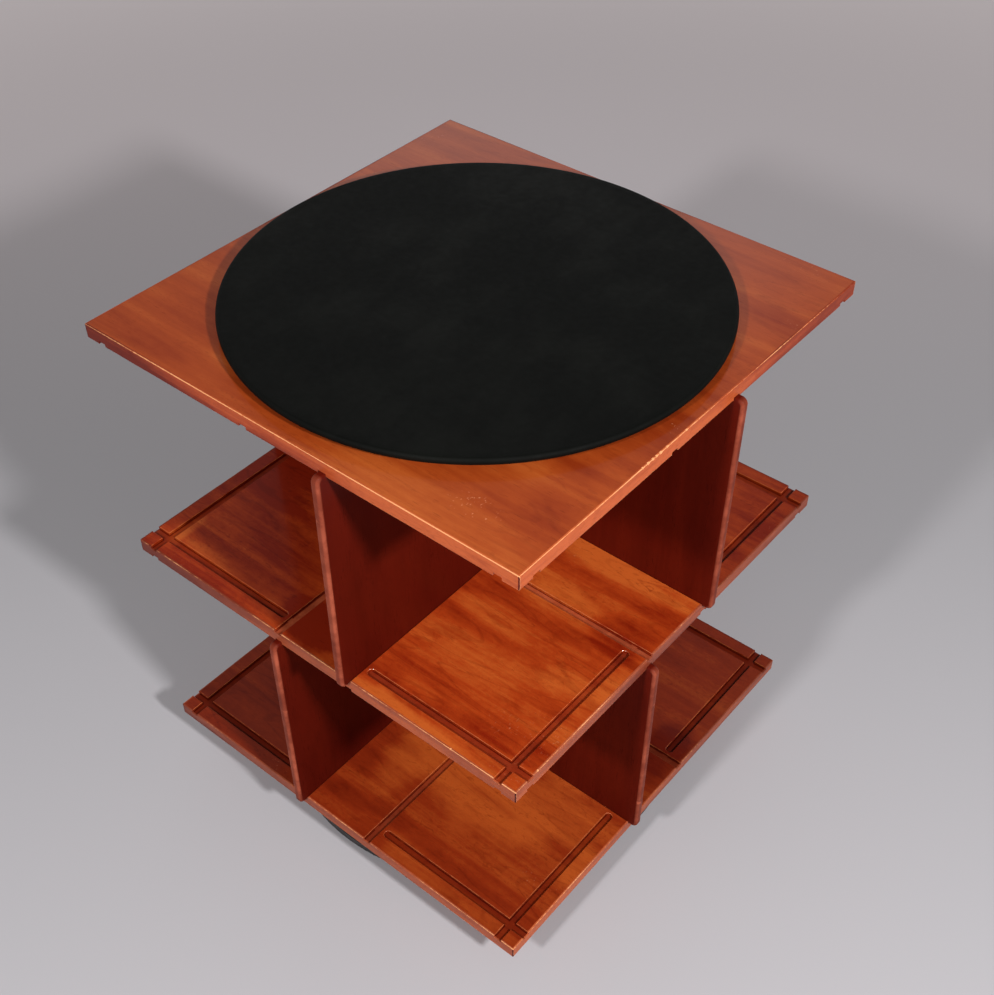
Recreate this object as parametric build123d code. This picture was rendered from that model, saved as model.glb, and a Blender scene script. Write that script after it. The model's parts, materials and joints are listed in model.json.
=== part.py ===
from build123d import *
import math
import os

# Revolving desktop bookcase, in millimetres. +Z is up, the origin is on the floor on the axis that
# the case turns about, and the sides of the square slabs are parallel to X and Y.

# --- Slabs: three equal veneered boards, each with a lipping glued round it ---
SLAB_SIDE = 600.0
SLAB_THICK = 18.0
LIPPING = 2.0
SLAB_ARRIS = 0.8
TIER_CLEAR = 304.0

# --- Dividers: two tiers of four boards, each tier a pinwheel round a square well ---
DIVIDER_THICK = 10.0
DIVIDER_OFFSET = 56.0
DIVIDER_PROUD = 12.5
DIVIDER_CORNER = 8.0
DIVIDER_NOSE = 3.0

# --- Grooves in the slabs' inner faces ---
GROOVE_DEPTH = 4.0
GROOVE_SIDE_GAP = 0.25
GROOVE_LIP = 0.6
ARM_INSET = 25.0
ARM_REACH = 234.0

# --- Base disc and its glides ---
BASE_DISC_RADIUS = 283.0
BASE_DISC_THICK = 16.0
BASE_DISC_EDGE = 3.0
GLIDE_COUNT = 6
GLIDE_RADIUS = 15.0
GLIDE_THICK = 3.0
GLIDE_EDGE = 0.5
GLIDE_INSET = 40.0

# --- Swivel: two concentric rings with caged balls between them, the same at base and top ---
RACE_RADIUS = 120.0
RING_WIDTH = 18.0
RING_THICK = 7.0
RING_STEP = 1.0
RING_CHAMFER = 0.5
RACE_GAP = 2.6
BALL_RADIUS = 2.0
BALL_COUNT = 24
BALL_CLEARANCE = 0.05
CAGE_CLEARANCE = 0.3
POCKET_CLEARANCE = 0.1

# --- Pedestal: the drum between the swivel and the bottom slab ---
PEDESTAL_MARGIN = 11.0
PEDESTAL_THICK = 31.0
PEDESTAL_EDGE = 1.5
NUT_BORE_RADIUS = 16.0

# --- Tie rod in the well, with a nut and a washer at each end ---
ROD_RADIUS = 5.0
ROD_CLEARANCE = 0.5
ROD_CHAMFER = 1.0
ROD_END = 2.0
THREAD_CLEARANCE = 0.05
NUT_ACROSS_FLATS = 17.0
NUT_THICK = 5.0
WASHER_RADIUS = 10.0
WASHER_THICK = 2.0
TOP_SINK_RADIUS = 14.0
TOP_SINK_DEPTH = 4.0

# --- Top disc: a board inside a leather skin, which is turned under its edge ---
TOP_DISC_RADIUS = 283.0
TOP_DISC_THICK = 9.0
SKIN_THICK = 1.0
SKIN_TURN_UNDER = 24.0
TOP_DISC_GAP = 6.0
RING_REBATE_CLEARANCE = 1.0

# --- Screws ---
SCREWS_PER_RING = 4
RING_SCREW_RADIUS = 1.75
RING_SCREW_HEAD_RADIUS = 3.5
BASE_RING_BITE = 10.0
PEDESTAL_RING_BITE = 12.0
TOP_RING_BITE = 10.0
TOP_DISC_BITE = 4.6
PEDESTAL_SCREWS = 4
PEDESTAL_SCREW_RADIUS = 2.5
PEDESTAL_SCREW_HEAD_RADIUS = 5.0
PEDESTAL_SCREW_PITCH = 72.0
PEDESTAL_SCREW_SINK = 6.0
PEDESTAL_SCREW_BITE = 11.0
SCREW_CLEARANCE = 0.1
SCREW_RIM = 0.4
SCREW_POINT = 2.0
RECESS_DEPTH_SHARE = 0.5
RECESS_WIDTH_SHARE = 0.22
ACCESS_RADIUS = 5.0

# --- Heights, each from the piece below it ---
BASE_DISC_BOTTOM = GLIDE_THICK
BASE_DISC_TOP = BASE_DISC_BOTTOM + BASE_DISC_THICK
SWIVEL_HEIGHT = RING_THICK + RING_STEP
PEDESTAL_BOTTOM = BASE_DISC_TOP + SWIVEL_HEIGHT
BOTTOM_SLAB = PEDESTAL_BOTTOM + PEDESTAL_THICK
TIER_PITCH = SLAB_THICK + TIER_CLEAR
MIDDLE_SLAB = BOTTOM_SLAB + TIER_PITCH
TOP_SLAB = MIDDLE_SLAB + TIER_PITCH
CASE_TOP = TOP_SLAB + SLAB_THICK
TOP_DISC_BOTTOM = CASE_TOP + TOP_DISC_GAP

# --- Sizes that follow from the values above ---
HALF_SIDE = SLAB_SIDE / 2
GROOVE_WIDTH = DIVIDER_THICK + 2 * GROOVE_SIDE_GAP
WELL_HALF = DIVIDER_OFFSET - DIVIDER_THICK / 2
DIVIDER_HEIGHT = TIER_CLEAR + 2 * GROOVE_DEPTH
DIVIDER_FRONT = HALF_SIDE + DIVIDER_PROUD
INNER_RING_OUTSIDE = RACE_RADIUS - RACE_GAP / 2
OUTER_RING_INSIDE = RACE_RADIUS + RACE_GAP / 2
OUTER_RING_OUTSIDE = OUTER_RING_INSIDE + RING_WIDTH
INNER_SCREW_PITCH = INNER_RING_OUTSIDE - RING_WIDTH / 2
OUTER_SCREW_PITCH = OUTER_RING_INSIDE + RING_WIDTH / 2
BALL_HEIGHT = (RING_THICK + RING_STEP) / 2
PEDESTAL_RADIUS = OUTER_RING_OUTSIDE + PEDESTAL_MARGIN
RING_SCREW_ANGLE = 45.0
CUT_PAST = 1.0


def write(name, shape):
    """Write one node: a single solid, or a group of separate ones."""
    shape.label = name
    export_step(shape, f"parts/{name}.step")


def group(pieces):
    """Identical loose pieces that share one node."""
    return Compound(children=[Part() + piece for piece in pieces])


def around(shape, count, start=0.0):
    """Copies of a shape, evenly spaced about the Z axis."""
    return [Rot(0, 0, start + 360.0 * step / count) * shape for step in range(count)]


def drum(radius, bottom, top):
    """Upright cylinder on the Z axis between two heights."""
    return Pos(0, 0, (bottom + top) / 2) * Cylinder(radius, top - bottom)


# --- Fasteners ---


def screw_body(radius, head_radius, length, grow=0.0, above=0.0):
    """Countersunk screw pointing down from z = 0, grown and carried upwards when it is a cutter."""
    cone = SCREW_RIM + head_radius - radius
    profile = Polyline(
        (0, above),
        (head_radius + grow, above),
        (head_radius + grow, -SCREW_RIM),
        (radius + grow, -cone),
        (radius + grow, -(length - SCREW_POINT) - grow),
        (0, -length - grow),
        close=True,
    )
    return revolve(Plane.XZ * make_face(profile), Axis.Z)


def screw(radius, head_radius, length):
    """Countersunk wood screw with a cross recess in its head."""
    depth = head_radius * RECESS_DEPTH_SHARE
    width = head_radius * RECESS_WIDTH_SHARE
    bar = Pos(0, 0, -depth / 2) * Box(head_radius, width, depth)
    return screw_body(radius, head_radius, length) - bar - Rot(0, 0, 90) * bar


def screw_cutter(radius, head_radius, length, above):
    """The hole that such a screw fits, open above its head."""
    return screw_body(radius, head_radius, length, SCREW_CLEARANCE, above)


def washer():
    """Plain washer standing on z = 0."""
    bore = Cylinder(ROD_RADIUS + THREAD_CLEARANCE, WASHER_THICK)
    return Pos(0, 0, WASHER_THICK / 2) * (Cylinder(WASHER_RADIUS, WASHER_THICK) - bore)


def nut():
    """Thin hexagon nut standing on z = 0, its corners turned off."""
    hexagon = extrude(RegularPolygon(NUT_ACROSS_FLATS / 2, 6, major_radius=False), NUT_THICK)
    corner_radius = NUT_ACROSS_FLATS / math.sqrt(3)
    turned = Pos(0, 0, NUT_THICK / 2) * Cylinder(corner_radius, NUT_THICK)
    turned = chamfer(turned.edges().filter_by(GeomType.CIRCLE), NUT_THICK / 10, NUT_THICK / 6)
    return (hexagon & turned) - drum(ROD_RADIUS + THREAD_CLEARANCE, 0, NUT_THICK)


# --- Slabs ---


def groove_section():
    """Cross-section of a groove in a face at height 0: straight walls and a lip taken off at 45 degrees."""
    wall = GROOVE_WIDTH / 2
    mouth = wall + GROOVE_LIP
    return make_face(Polyline(
        (0, -GROOVE_DEPTH),
        (wall, -GROOVE_DEPTH),
        (wall, -GROOVE_LIP),
        (mouth, 0),
        (mouth, CUT_PAST),
        (0, CUT_PAST),
        close=True,
    ))


def groove_run(start, end, line):
    """A straight groove along X between two places, its middle line at the given Y."""
    half = groove_section()
    section = half + mirror(half, Plane.YZ)
    along = Plane(origin=(start, line, 0), x_dir=(0, 1, 0), z_dir=(1, 0, 0))
    return extrude(along * section, end - start)


def face_cutters():
    """The grooves of one face at height 0: four run right across, eight start at an edge."""
    past = HALF_SIDE + CUT_PAST
    across = groove_run(-past, past, DIVIDER_OFFSET)
    end = HALF_SIDE - ARM_REACH + GROOVE_WIDTH / 2
    line = HALF_SIDE - ARM_INSET
    blind_end = Pos(end, line, 0) * revolve(Plane.XZ * groove_section(), Axis.Z)
    arm = groove_run(end, past, line) + blind_end
    both_arms = [arm, mirror(arm, Plane.YZ)]
    return around(across, 4) + [turned for one in both_arms for turned in around(one, 4)]


def slab_cutters(bottom, grooved_below, grooved_above):
    """The grooves of one slab, whose underside is at the given height."""
    cutters = []
    if grooved_below:
        cutters += [Pos(0, 0, bottom) * Rot(180, 0, 0) * cutter for cutter in face_cutters()]
    if grooved_above:
        cutters += [Pos(0, 0, bottom + SLAB_THICK) * cutter for cutter in face_cutters()]
    return cutters


def slab_core(bottom, cutters):
    """The veneered board inside the lippings."""
    side = SLAB_SIDE - 2 * LIPPING
    board = Pos(0, 0, bottom + SLAB_THICK / 2) * Box(side, side, SLAB_THICK)
    return board - cutters


def slab_lippings(bottom, cutters):
    """Four edge strips: two as long as the slab, two between them."""
    outline = fillet(Box(SLAB_SIDE, SLAB_SIDE, SLAB_THICK).edges(), SLAB_ARRIS)
    middle = (SLAB_SIDE - LIPPING) / 2
    long_strip = Pos(0, middle, 0) * Box(SLAB_SIDE, LIPPING, SLAB_THICK)
    short_strip = Pos(middle, 0, 0) * Box(LIPPING, SLAB_SIDE - 2 * LIPPING, SLAB_THICK)
    strips = around(outline & long_strip, 2) + around(outline & short_strip, 2)
    return group([(Pos(0, 0, bottom + SLAB_THICK / 2) * strip) - cutters for strip in strips])


# --- Dividers ---


def divider(bottom):
    """The divider whose front edge is on the -Y side, its foot in the groove at the given height."""
    inner = WELL_HALF
    length = DIVIDER_FRONT + inner
    outline = Rectangle(length, DIVIDER_HEIGHT, align=(Align.MIN, Align.MIN))
    front_corners = outline.vertices().group_by(Axis.X)[0]
    outline = fillet(front_corners, DIVIDER_CORNER)
    board = extrude(outline, DIVIDER_THICK / 2, both=True)
    front = board.edges().filter_by(Axis.Y).group_by(Axis.X)[0]
    board = fillet(front, DIVIDER_NOSE)
    upright = Rot(0, 0, 90) * Rot(90, 0, 0) * board
    return Pos(DIVIDER_OFFSET, -DIVIDER_FRONT, bottom) * upright


def tier(bottom, mirrored):
    """Four dividers in a pinwheel, each one's inner end against the next one's face."""
    first = divider(bottom)
    if mirrored:
        first = mirror(first, Plane.YZ)
    return dict(zip(("front", "right", "back", "left"), around(first, 4)))


# --- Swivels ---


def ring(inside, bottom):
    """One swivel ring, with the ball race cut in the side that faces the race radius."""
    blank = Pos(inside + RING_WIDTH / 2, bottom + RING_THICK / 2) * Rectangle(RING_WIDTH, RING_THICK)
    blank = chamfer(blank.vertices(), RING_CHAMFER)
    race = Pos(RACE_RADIUS, BALL_HEIGHT) * Circle(BALL_RADIUS + BALL_CLEARANCE)
    return revolve(Plane.XZ * (blank - race), Axis.Z)


def ball_cage():
    """A band between the rings, with a round window for each ball."""
    half_width = RACE_GAP / 2 - CAGE_CLEARANCE
    half_height = (RING_THICK - RING_STEP) / 2 - CAGE_CLEARANCE
    bottom = BALL_HEIGHT - half_height
    top = BALL_HEIGHT + half_height
    band = drum(RACE_RADIUS + half_width, bottom, top) - drum(RACE_RADIUS - half_width, bottom, top)
    window = Cylinder(BALL_RADIUS + POCKET_CLEARANCE, RACE_GAP)
    return band - around(Pos(RACE_RADIUS, 0, BALL_HEIGHT) * Rot(0, 90, 0) * window, BALL_COUNT)


def ring_seats(pitch, place):
    """Where a ring's screws sit, given the first one's height and attitude."""
    return around(Pos(pitch, 0, 0) * place, SCREWS_PER_RING, RING_SCREW_ANGLE)


def swivel(floor, inner_bite, outer_bite):
    """A swivel standing at a height, as named pieces, with the cutters for what it is screwed to."""
    inner_length = RING_THICK + inner_bite
    outer_length = RING_THICK + outer_bite
    head_sizes = (RING_SCREW_RADIUS, RING_SCREW_HEAD_RADIUS)
    lift = Pos(0, 0, floor)
    downward = lift * Pos(0, 0, RING_THICK)
    upward = lift * Pos(0, 0, RING_STEP) * Rot(180, 0, 0)
    inner_seats = ring_seats(INNER_SCREW_PITCH, downward)
    outer_seats = ring_seats(OUTER_SCREW_PITCH, upward)
    inner_cutter = screw_cutter(*head_sizes, inner_length, CUT_PAST)
    outer_cutter = screw_cutter(*head_sizes, outer_length, CUT_PAST)
    inner_cutters = [seat * inner_cutter for seat in inner_seats]
    outer_cutters = [seat * outer_cutter for seat in outer_seats]
    inner_screw = screw(*head_sizes, inner_length)
    outer_screw = screw(*head_sizes, outer_length)
    ball = lift * Pos(RACE_RADIUS, 0, BALL_HEIGHT) * Sphere(BALL_RADIUS)
    pieces = {
        "inner_ring": lift * ring(INNER_RING_OUTSIDE - RING_WIDTH, 0) - inner_cutters,
        "outer_ring": lift * ring(OUTER_RING_INSIDE, RING_STEP) - outer_cutters,
        "balls": group(around(ball, BALL_COUNT)),
        "ball_cage": lift * ball_cage(),
        "inner_ring_screws": group([seat * inner_screw for seat in inner_seats]),
        "outer_ring_screws": group([seat * outer_screw for seat in outer_seats]),
    }
    return pieces, inner_cutters, outer_cutters


def access_hole(bottom, top):
    """A hole through a board, in line with one of the outer ring's screws."""
    return Rot(0, 0, RING_SCREW_ANGLE) * Pos(OUTER_SCREW_PITCH, 0, 0) * drum(ACCESS_RADIUS, bottom, top)


# --- Base ---


def base_disc(screw_holes):
    """The disc that stays still on the floor."""
    disc = drum(BASE_DISC_RADIUS, BASE_DISC_BOTTOM, BASE_DISC_TOP)
    disc = fillet(disc.edges().filter_by(GeomType.CIRCLE), BASE_DISC_EDGE)
    return disc - access_hole(BASE_DISC_BOTTOM - CUT_PAST, BASE_DISC_TOP + CUT_PAST) - screw_holes


def base_glides():
    """Felt pads under the base disc, near its rim."""
    pad = drum(GLIDE_RADIUS, 0, GLIDE_THICK)
    pad = fillet(pad.edges().filter_by(GeomType.CIRCLE).group_by(Axis.Z)[0], GLIDE_EDGE)
    return group(around(Pos(BASE_DISC_RADIUS - GLIDE_INSET, 0, 0) * pad, GLIDE_COUNT))


def pedestal_screw_seats():
    """Where the screws that hold the pedestal to the bottom slab start, pointing up."""
    seat = Pos(PEDESTAL_SCREW_PITCH, 0, PEDESTAL_BOTTOM + PEDESTAL_SCREW_SINK) * Rot(180, 0, 0)
    return around(seat, PEDESTAL_SCREWS)


def pedestal_screw_length():
    """From the sunk head through the pedestal into the slab."""
    return PEDESTAL_THICK - PEDESTAL_SCREW_SINK + PEDESTAL_SCREW_BITE


def pedestal_screw_cutters():
    """The holes for those screws, open below their heads."""
    cutter = screw_cutter(
        PEDESTAL_SCREW_RADIUS,
        PEDESTAL_SCREW_HEAD_RADIUS,
        pedestal_screw_length(),
        PEDESTAL_SCREW_SINK + CUT_PAST,
    )
    return [seat * cutter for seat in pedestal_screw_seats()]


def pedestal(screw_holes):
    """The drum that turns with the case, open in the middle for the tie rod's nut."""
    body = drum(PEDESTAL_RADIUS, PEDESTAL_BOTTOM, BOTTOM_SLAB)
    body = fillet(body.edges().filter_by(GeomType.CIRCLE), PEDESTAL_EDGE)
    bore = drum(NUT_BORE_RADIUS, PEDESTAL_BOTTOM - CUT_PAST, BOTTOM_SLAB + CUT_PAST)
    return body - bore - screw_holes - pedestal_screw_cutters()


# --- Tie rod ---


def rod_heights():
    """The rod's two ends, each a little past its nut."""
    low = BOTTOM_SLAB - WASHER_THICK - NUT_THICK - ROD_END
    high = CASE_TOP - TOP_SINK_DEPTH + WASHER_THICK + NUT_THICK + ROD_END
    return low, high


def tie_rod():
    """The rod on the case's axis."""
    low, high = rod_heights()
    rod = drum(ROD_RADIUS, low, high)
    return chamfer(rod.edges().filter_by(GeomType.CIRCLE), ROD_CHAMFER)


def rod_hole():
    """The clearance hole for the rod, through all three slabs."""
    low, high = rod_heights()
    return drum(ROD_RADIUS + ROD_CLEARANCE, low, high)


# --- Top disc ---


def rounded_disc_face(radius, bottom, top, inside=0.0):
    """Half section of a disc whose rim is a half round."""
    nose = (top - bottom) / 2
    flat = radius - nose
    outline = Line((inside, bottom), (flat, bottom)) + Line((flat, top), (inside, top))
    rim = ThreePointArc((flat, bottom), (radius, bottom + nose), (flat, top))
    return make_face(outline + rim + Line((inside, top), (inside, bottom)))


def top_disc_board(screw_holes):
    """The board inside the skin, rebated below for the swivel's outer ring."""
    bottom = TOP_DISC_BOTTOM + SKIN_THICK
    top = TOP_DISC_BOTTOM + TOP_DISC_THICK - SKIN_THICK
    face = rounded_disc_face(TOP_DISC_RADIUS - SKIN_THICK, bottom, top)
    rebate = drum(OUTER_RING_OUTSIDE + RING_REBATE_CLEARANCE, bottom - CUT_PAST, CASE_TOP + SWIVEL_HEIGHT)
    return revolve(Plane.XZ * face, Axis.Z) - rebate - screw_holes


def top_disc_skin():
    """The leather: over the top, round the rim and a little way in below."""
    bottom = TOP_DISC_BOTTOM
    top = TOP_DISC_BOTTOM + TOP_DISC_THICK
    outside = rounded_disc_face(TOP_DISC_RADIUS, bottom, top)
    inside = rounded_disc_face(TOP_DISC_RADIUS - SKIN_THICK, bottom + SKIN_THICK, top - SKIN_THICK)
    skin = revolve(Plane.XZ * outside, Axis.Z) - revolve(Plane.XZ * inside, Axis.Z)
    return skin - drum(TOP_DISC_RADIUS - SKIN_TURN_UNDER, bottom - CUT_PAST, bottom + SKIN_THICK)


# --- Assembly ---


def build_base_and_pedestal():
    """Everything from the floor to the underside of the bottom slab."""
    pieces, below, above = swivel(BASE_DISC_TOP, BASE_RING_BITE, PEDESTAL_RING_BITE)
    write("base_glides", base_glides())
    write("base_disc", base_disc(below))
    write("pedestal", pedestal(above))
    for name, piece in pieces.items():
        write(f"base_swivel_{name}", piece)
    fastener = screw(PEDESTAL_SCREW_RADIUS, PEDESTAL_SCREW_HEAD_RADIUS, pedestal_screw_length())
    write("pedestal_screws", group([seat * fastener for seat in pedestal_screw_seats()]))


def build_case(top_swivel_holes):
    """The three slabs with their lippings, and the two tiers of dividers."""
    sink = drum(TOP_SINK_RADIUS, CASE_TOP - TOP_SINK_DEPTH, CASE_TOP + CUT_PAST)
    access = access_hole(TOP_SLAB - CUT_PAST, CASE_TOP + CUT_PAST)
    slabs = {
        "bottom": (BOTTOM_SLAB, False, True, pedestal_screw_cutters()),
        "middle": (MIDDLE_SLAB, True, True, []),
        "top": (TOP_SLAB, True, False, [sink, access] + top_swivel_holes),
    }
    for name, (height, grooved_below, grooved_above, holes) in slabs.items():
        cutters = slab_cutters(height, grooved_below, grooved_above)
        write(f"{name}_slab", slab_core(height, cutters + [rod_hole()] + holes))
        write(f"{name}_slab_lippings", slab_lippings(height, cutters))
    tiers = {"lower": (BOTTOM_SLAB, True), "upper": (MIDDLE_SLAB, False)}
    for name, (height, mirrored) in tiers.items():
        foot = height + SLAB_THICK - GROOVE_DEPTH
        for side, board in tier(foot, mirrored).items():
            write(f"{name}_divider_{side}", board)


def build_tie_rod():
    """The rod with a washer and a nut below the bottom slab, and the same in the top slab's sink."""
    sink_floor = CASE_TOP - TOP_SINK_DEPTH
    low_washer = BOTTOM_SLAB - WASHER_THICK
    write("tie_rod", tie_rod())
    write("tie_rod_washers", group([Pos(0, 0, z) * washer() for z in (low_washer, sink_floor)]))
    nut_floors = (low_washer - NUT_THICK, sink_floor + WASHER_THICK)
    write("tie_rod_nuts", group([Pos(0, 0, z) * nut() for z in nut_floors]))


def build_top_disc(pieces, screw_holes):
    """The upper swivel and the disc that it carries."""
    for name, piece in pieces.items():
        write(f"top_swivel_{name}", piece)
    write("top_disc_board", top_disc_board(screw_holes))
    write("top_disc_skin", top_disc_skin())


os.makedirs("parts", exist_ok=True)
top_pieces, slab_holes, board_holes = swivel(CASE_TOP, TOP_RING_BITE, TOP_DISC_BITE)
build_base_and_pedestal()
build_case(slab_holes)
build_tie_rod()
build_top_disc(top_pieces, board_holes)
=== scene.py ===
"""Looks of a revolving desktop bookcase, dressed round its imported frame. Metres, +Z up."""

import json
import logging
import math
from collections.abc import Callable
from dataclasses import dataclass
from enum import Enum

import bpy
import numpy as np
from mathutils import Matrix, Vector


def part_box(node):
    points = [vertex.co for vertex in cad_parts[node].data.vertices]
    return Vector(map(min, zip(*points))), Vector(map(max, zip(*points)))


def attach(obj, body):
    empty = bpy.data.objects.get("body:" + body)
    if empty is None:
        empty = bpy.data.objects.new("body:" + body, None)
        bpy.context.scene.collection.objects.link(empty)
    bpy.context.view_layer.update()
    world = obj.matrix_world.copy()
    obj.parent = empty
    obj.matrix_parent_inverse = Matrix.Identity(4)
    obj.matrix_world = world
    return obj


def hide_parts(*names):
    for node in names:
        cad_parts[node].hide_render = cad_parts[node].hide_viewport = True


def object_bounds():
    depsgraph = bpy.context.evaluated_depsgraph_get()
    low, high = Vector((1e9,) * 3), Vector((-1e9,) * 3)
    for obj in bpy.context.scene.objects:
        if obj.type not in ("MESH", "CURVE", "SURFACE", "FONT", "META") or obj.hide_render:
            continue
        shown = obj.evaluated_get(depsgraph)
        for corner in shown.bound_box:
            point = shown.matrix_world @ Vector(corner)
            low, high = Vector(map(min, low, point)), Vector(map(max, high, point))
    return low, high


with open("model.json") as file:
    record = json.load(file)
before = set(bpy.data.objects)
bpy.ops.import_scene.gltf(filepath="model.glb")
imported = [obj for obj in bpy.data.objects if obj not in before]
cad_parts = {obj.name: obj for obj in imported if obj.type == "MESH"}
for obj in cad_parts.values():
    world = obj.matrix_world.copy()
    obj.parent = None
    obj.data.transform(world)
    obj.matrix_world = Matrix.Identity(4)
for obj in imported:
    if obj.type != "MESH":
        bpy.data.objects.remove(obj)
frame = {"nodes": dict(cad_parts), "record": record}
CAD_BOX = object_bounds()

SEED = 4053
MM = 0.001
CREASE = math.radians(35.0)
QUARTER = math.pi / 2
GROOVE_HALF = 5.25 * MM
GROOVE_LIP = 0.6 * MM
GROOVE_DEPTH = 4.0 * MM
ARM_INSET = 25.0 * MM
# Name of the vertex attribute that holds wear together with painted highlight and sheen.
WEAR_AND_SHEEN = "wear_and_sheen"

Colour = tuple[float, float, float, float]
Tones = tuple[Colour, Colour, Colour]
Pair = tuple[float, float]
Triple = tuple[float, float, float]
Faces = list[tuple[int, ...]]
log = logging.getLogger("bookcase")


def tint(red: int, green: int, blue: int) -> Colour:
    """Shader colour of a display colour, with the display's curve undone.

    Args:
        red: Red from 0 to 255.
        green: Green from 0 to 255.
        blue: Blue from 0 to 255.

    Returns:
        The colour in linear light, opaque.
    """
    shares = (red / 255, green / 255, blue / 255)
    undone = [s / 12.92 if s <= 0.04045 else ((s + 0.055) / 1.055) ** 2.4 for s in shares]
    return (*undone, 1.0)


# --- Shader maths ---


def math_node(operation: str, reflected: bool = False) -> Callable[..., "Signal"]:
    """A method that adds one Math node to the graph of its signal.

    Args:
        operation: The Math node's operation.
        reflected: Whether the signal is the last operand and not the first.

    Returns:
        The method, which takes the other operands.
    """
    def method(signal: "Signal", *others: "Signal | float") -> "Signal":
        """The output of the node."""
        operands = (*others, signal) if reflected else (signal, *others)
        return signal.graph.signal("ShaderNodeMath", {"operation": operation}, dict(enumerate(operands)))
    return method


class Signal:
    """A shader socket that takes arithmetic: each operator adds one Math node."""

    def __init__(self, graph: "Graph", socket: bpy.types.NodeSocket) -> None:
        """Wraps one output socket of a graph."""
        self.graph = graph
        self.socket = socket

    __add__ = math_node("ADD")
    __radd__ = math_node("ADD", reflected=True)
    __sub__ = math_node("SUBTRACT")
    __rsub__ = math_node("SUBTRACT", reflected=True)
    __mul__ = math_node("MULTIPLY")
    __rmul__ = math_node("MULTIPLY", reflected=True)
    __truediv__ = math_node("DIVIDE")
    __abs__ = math_node("ABSOLUTE")
    larger = math_node("MAXIMUM")
    smaller = math_node("MINIMUM")
    over = math_node("GREATER_THAN")
    root = math_node("SQRT")
    wave = math_node("SINE")

    def ramp(self, start: float, end: float) -> "Signal":
        """Smooth step between two values of the signal, flat outside them.

        Args:
            start: Where the step is 0.
            end: Where the step is 1. It may be less than start.

        Returns:
            The step.
        """
        sockets = {"Value": self, "From Min": min(start, end), "From Max": max(start, end),
                   "To Min": float(start > end), "To Max": float(start <= end)}
        return self.graph.signal("ShaderNodeMapRange", {"interpolation_type": "SMOOTHSTEP"}, sockets)


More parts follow.
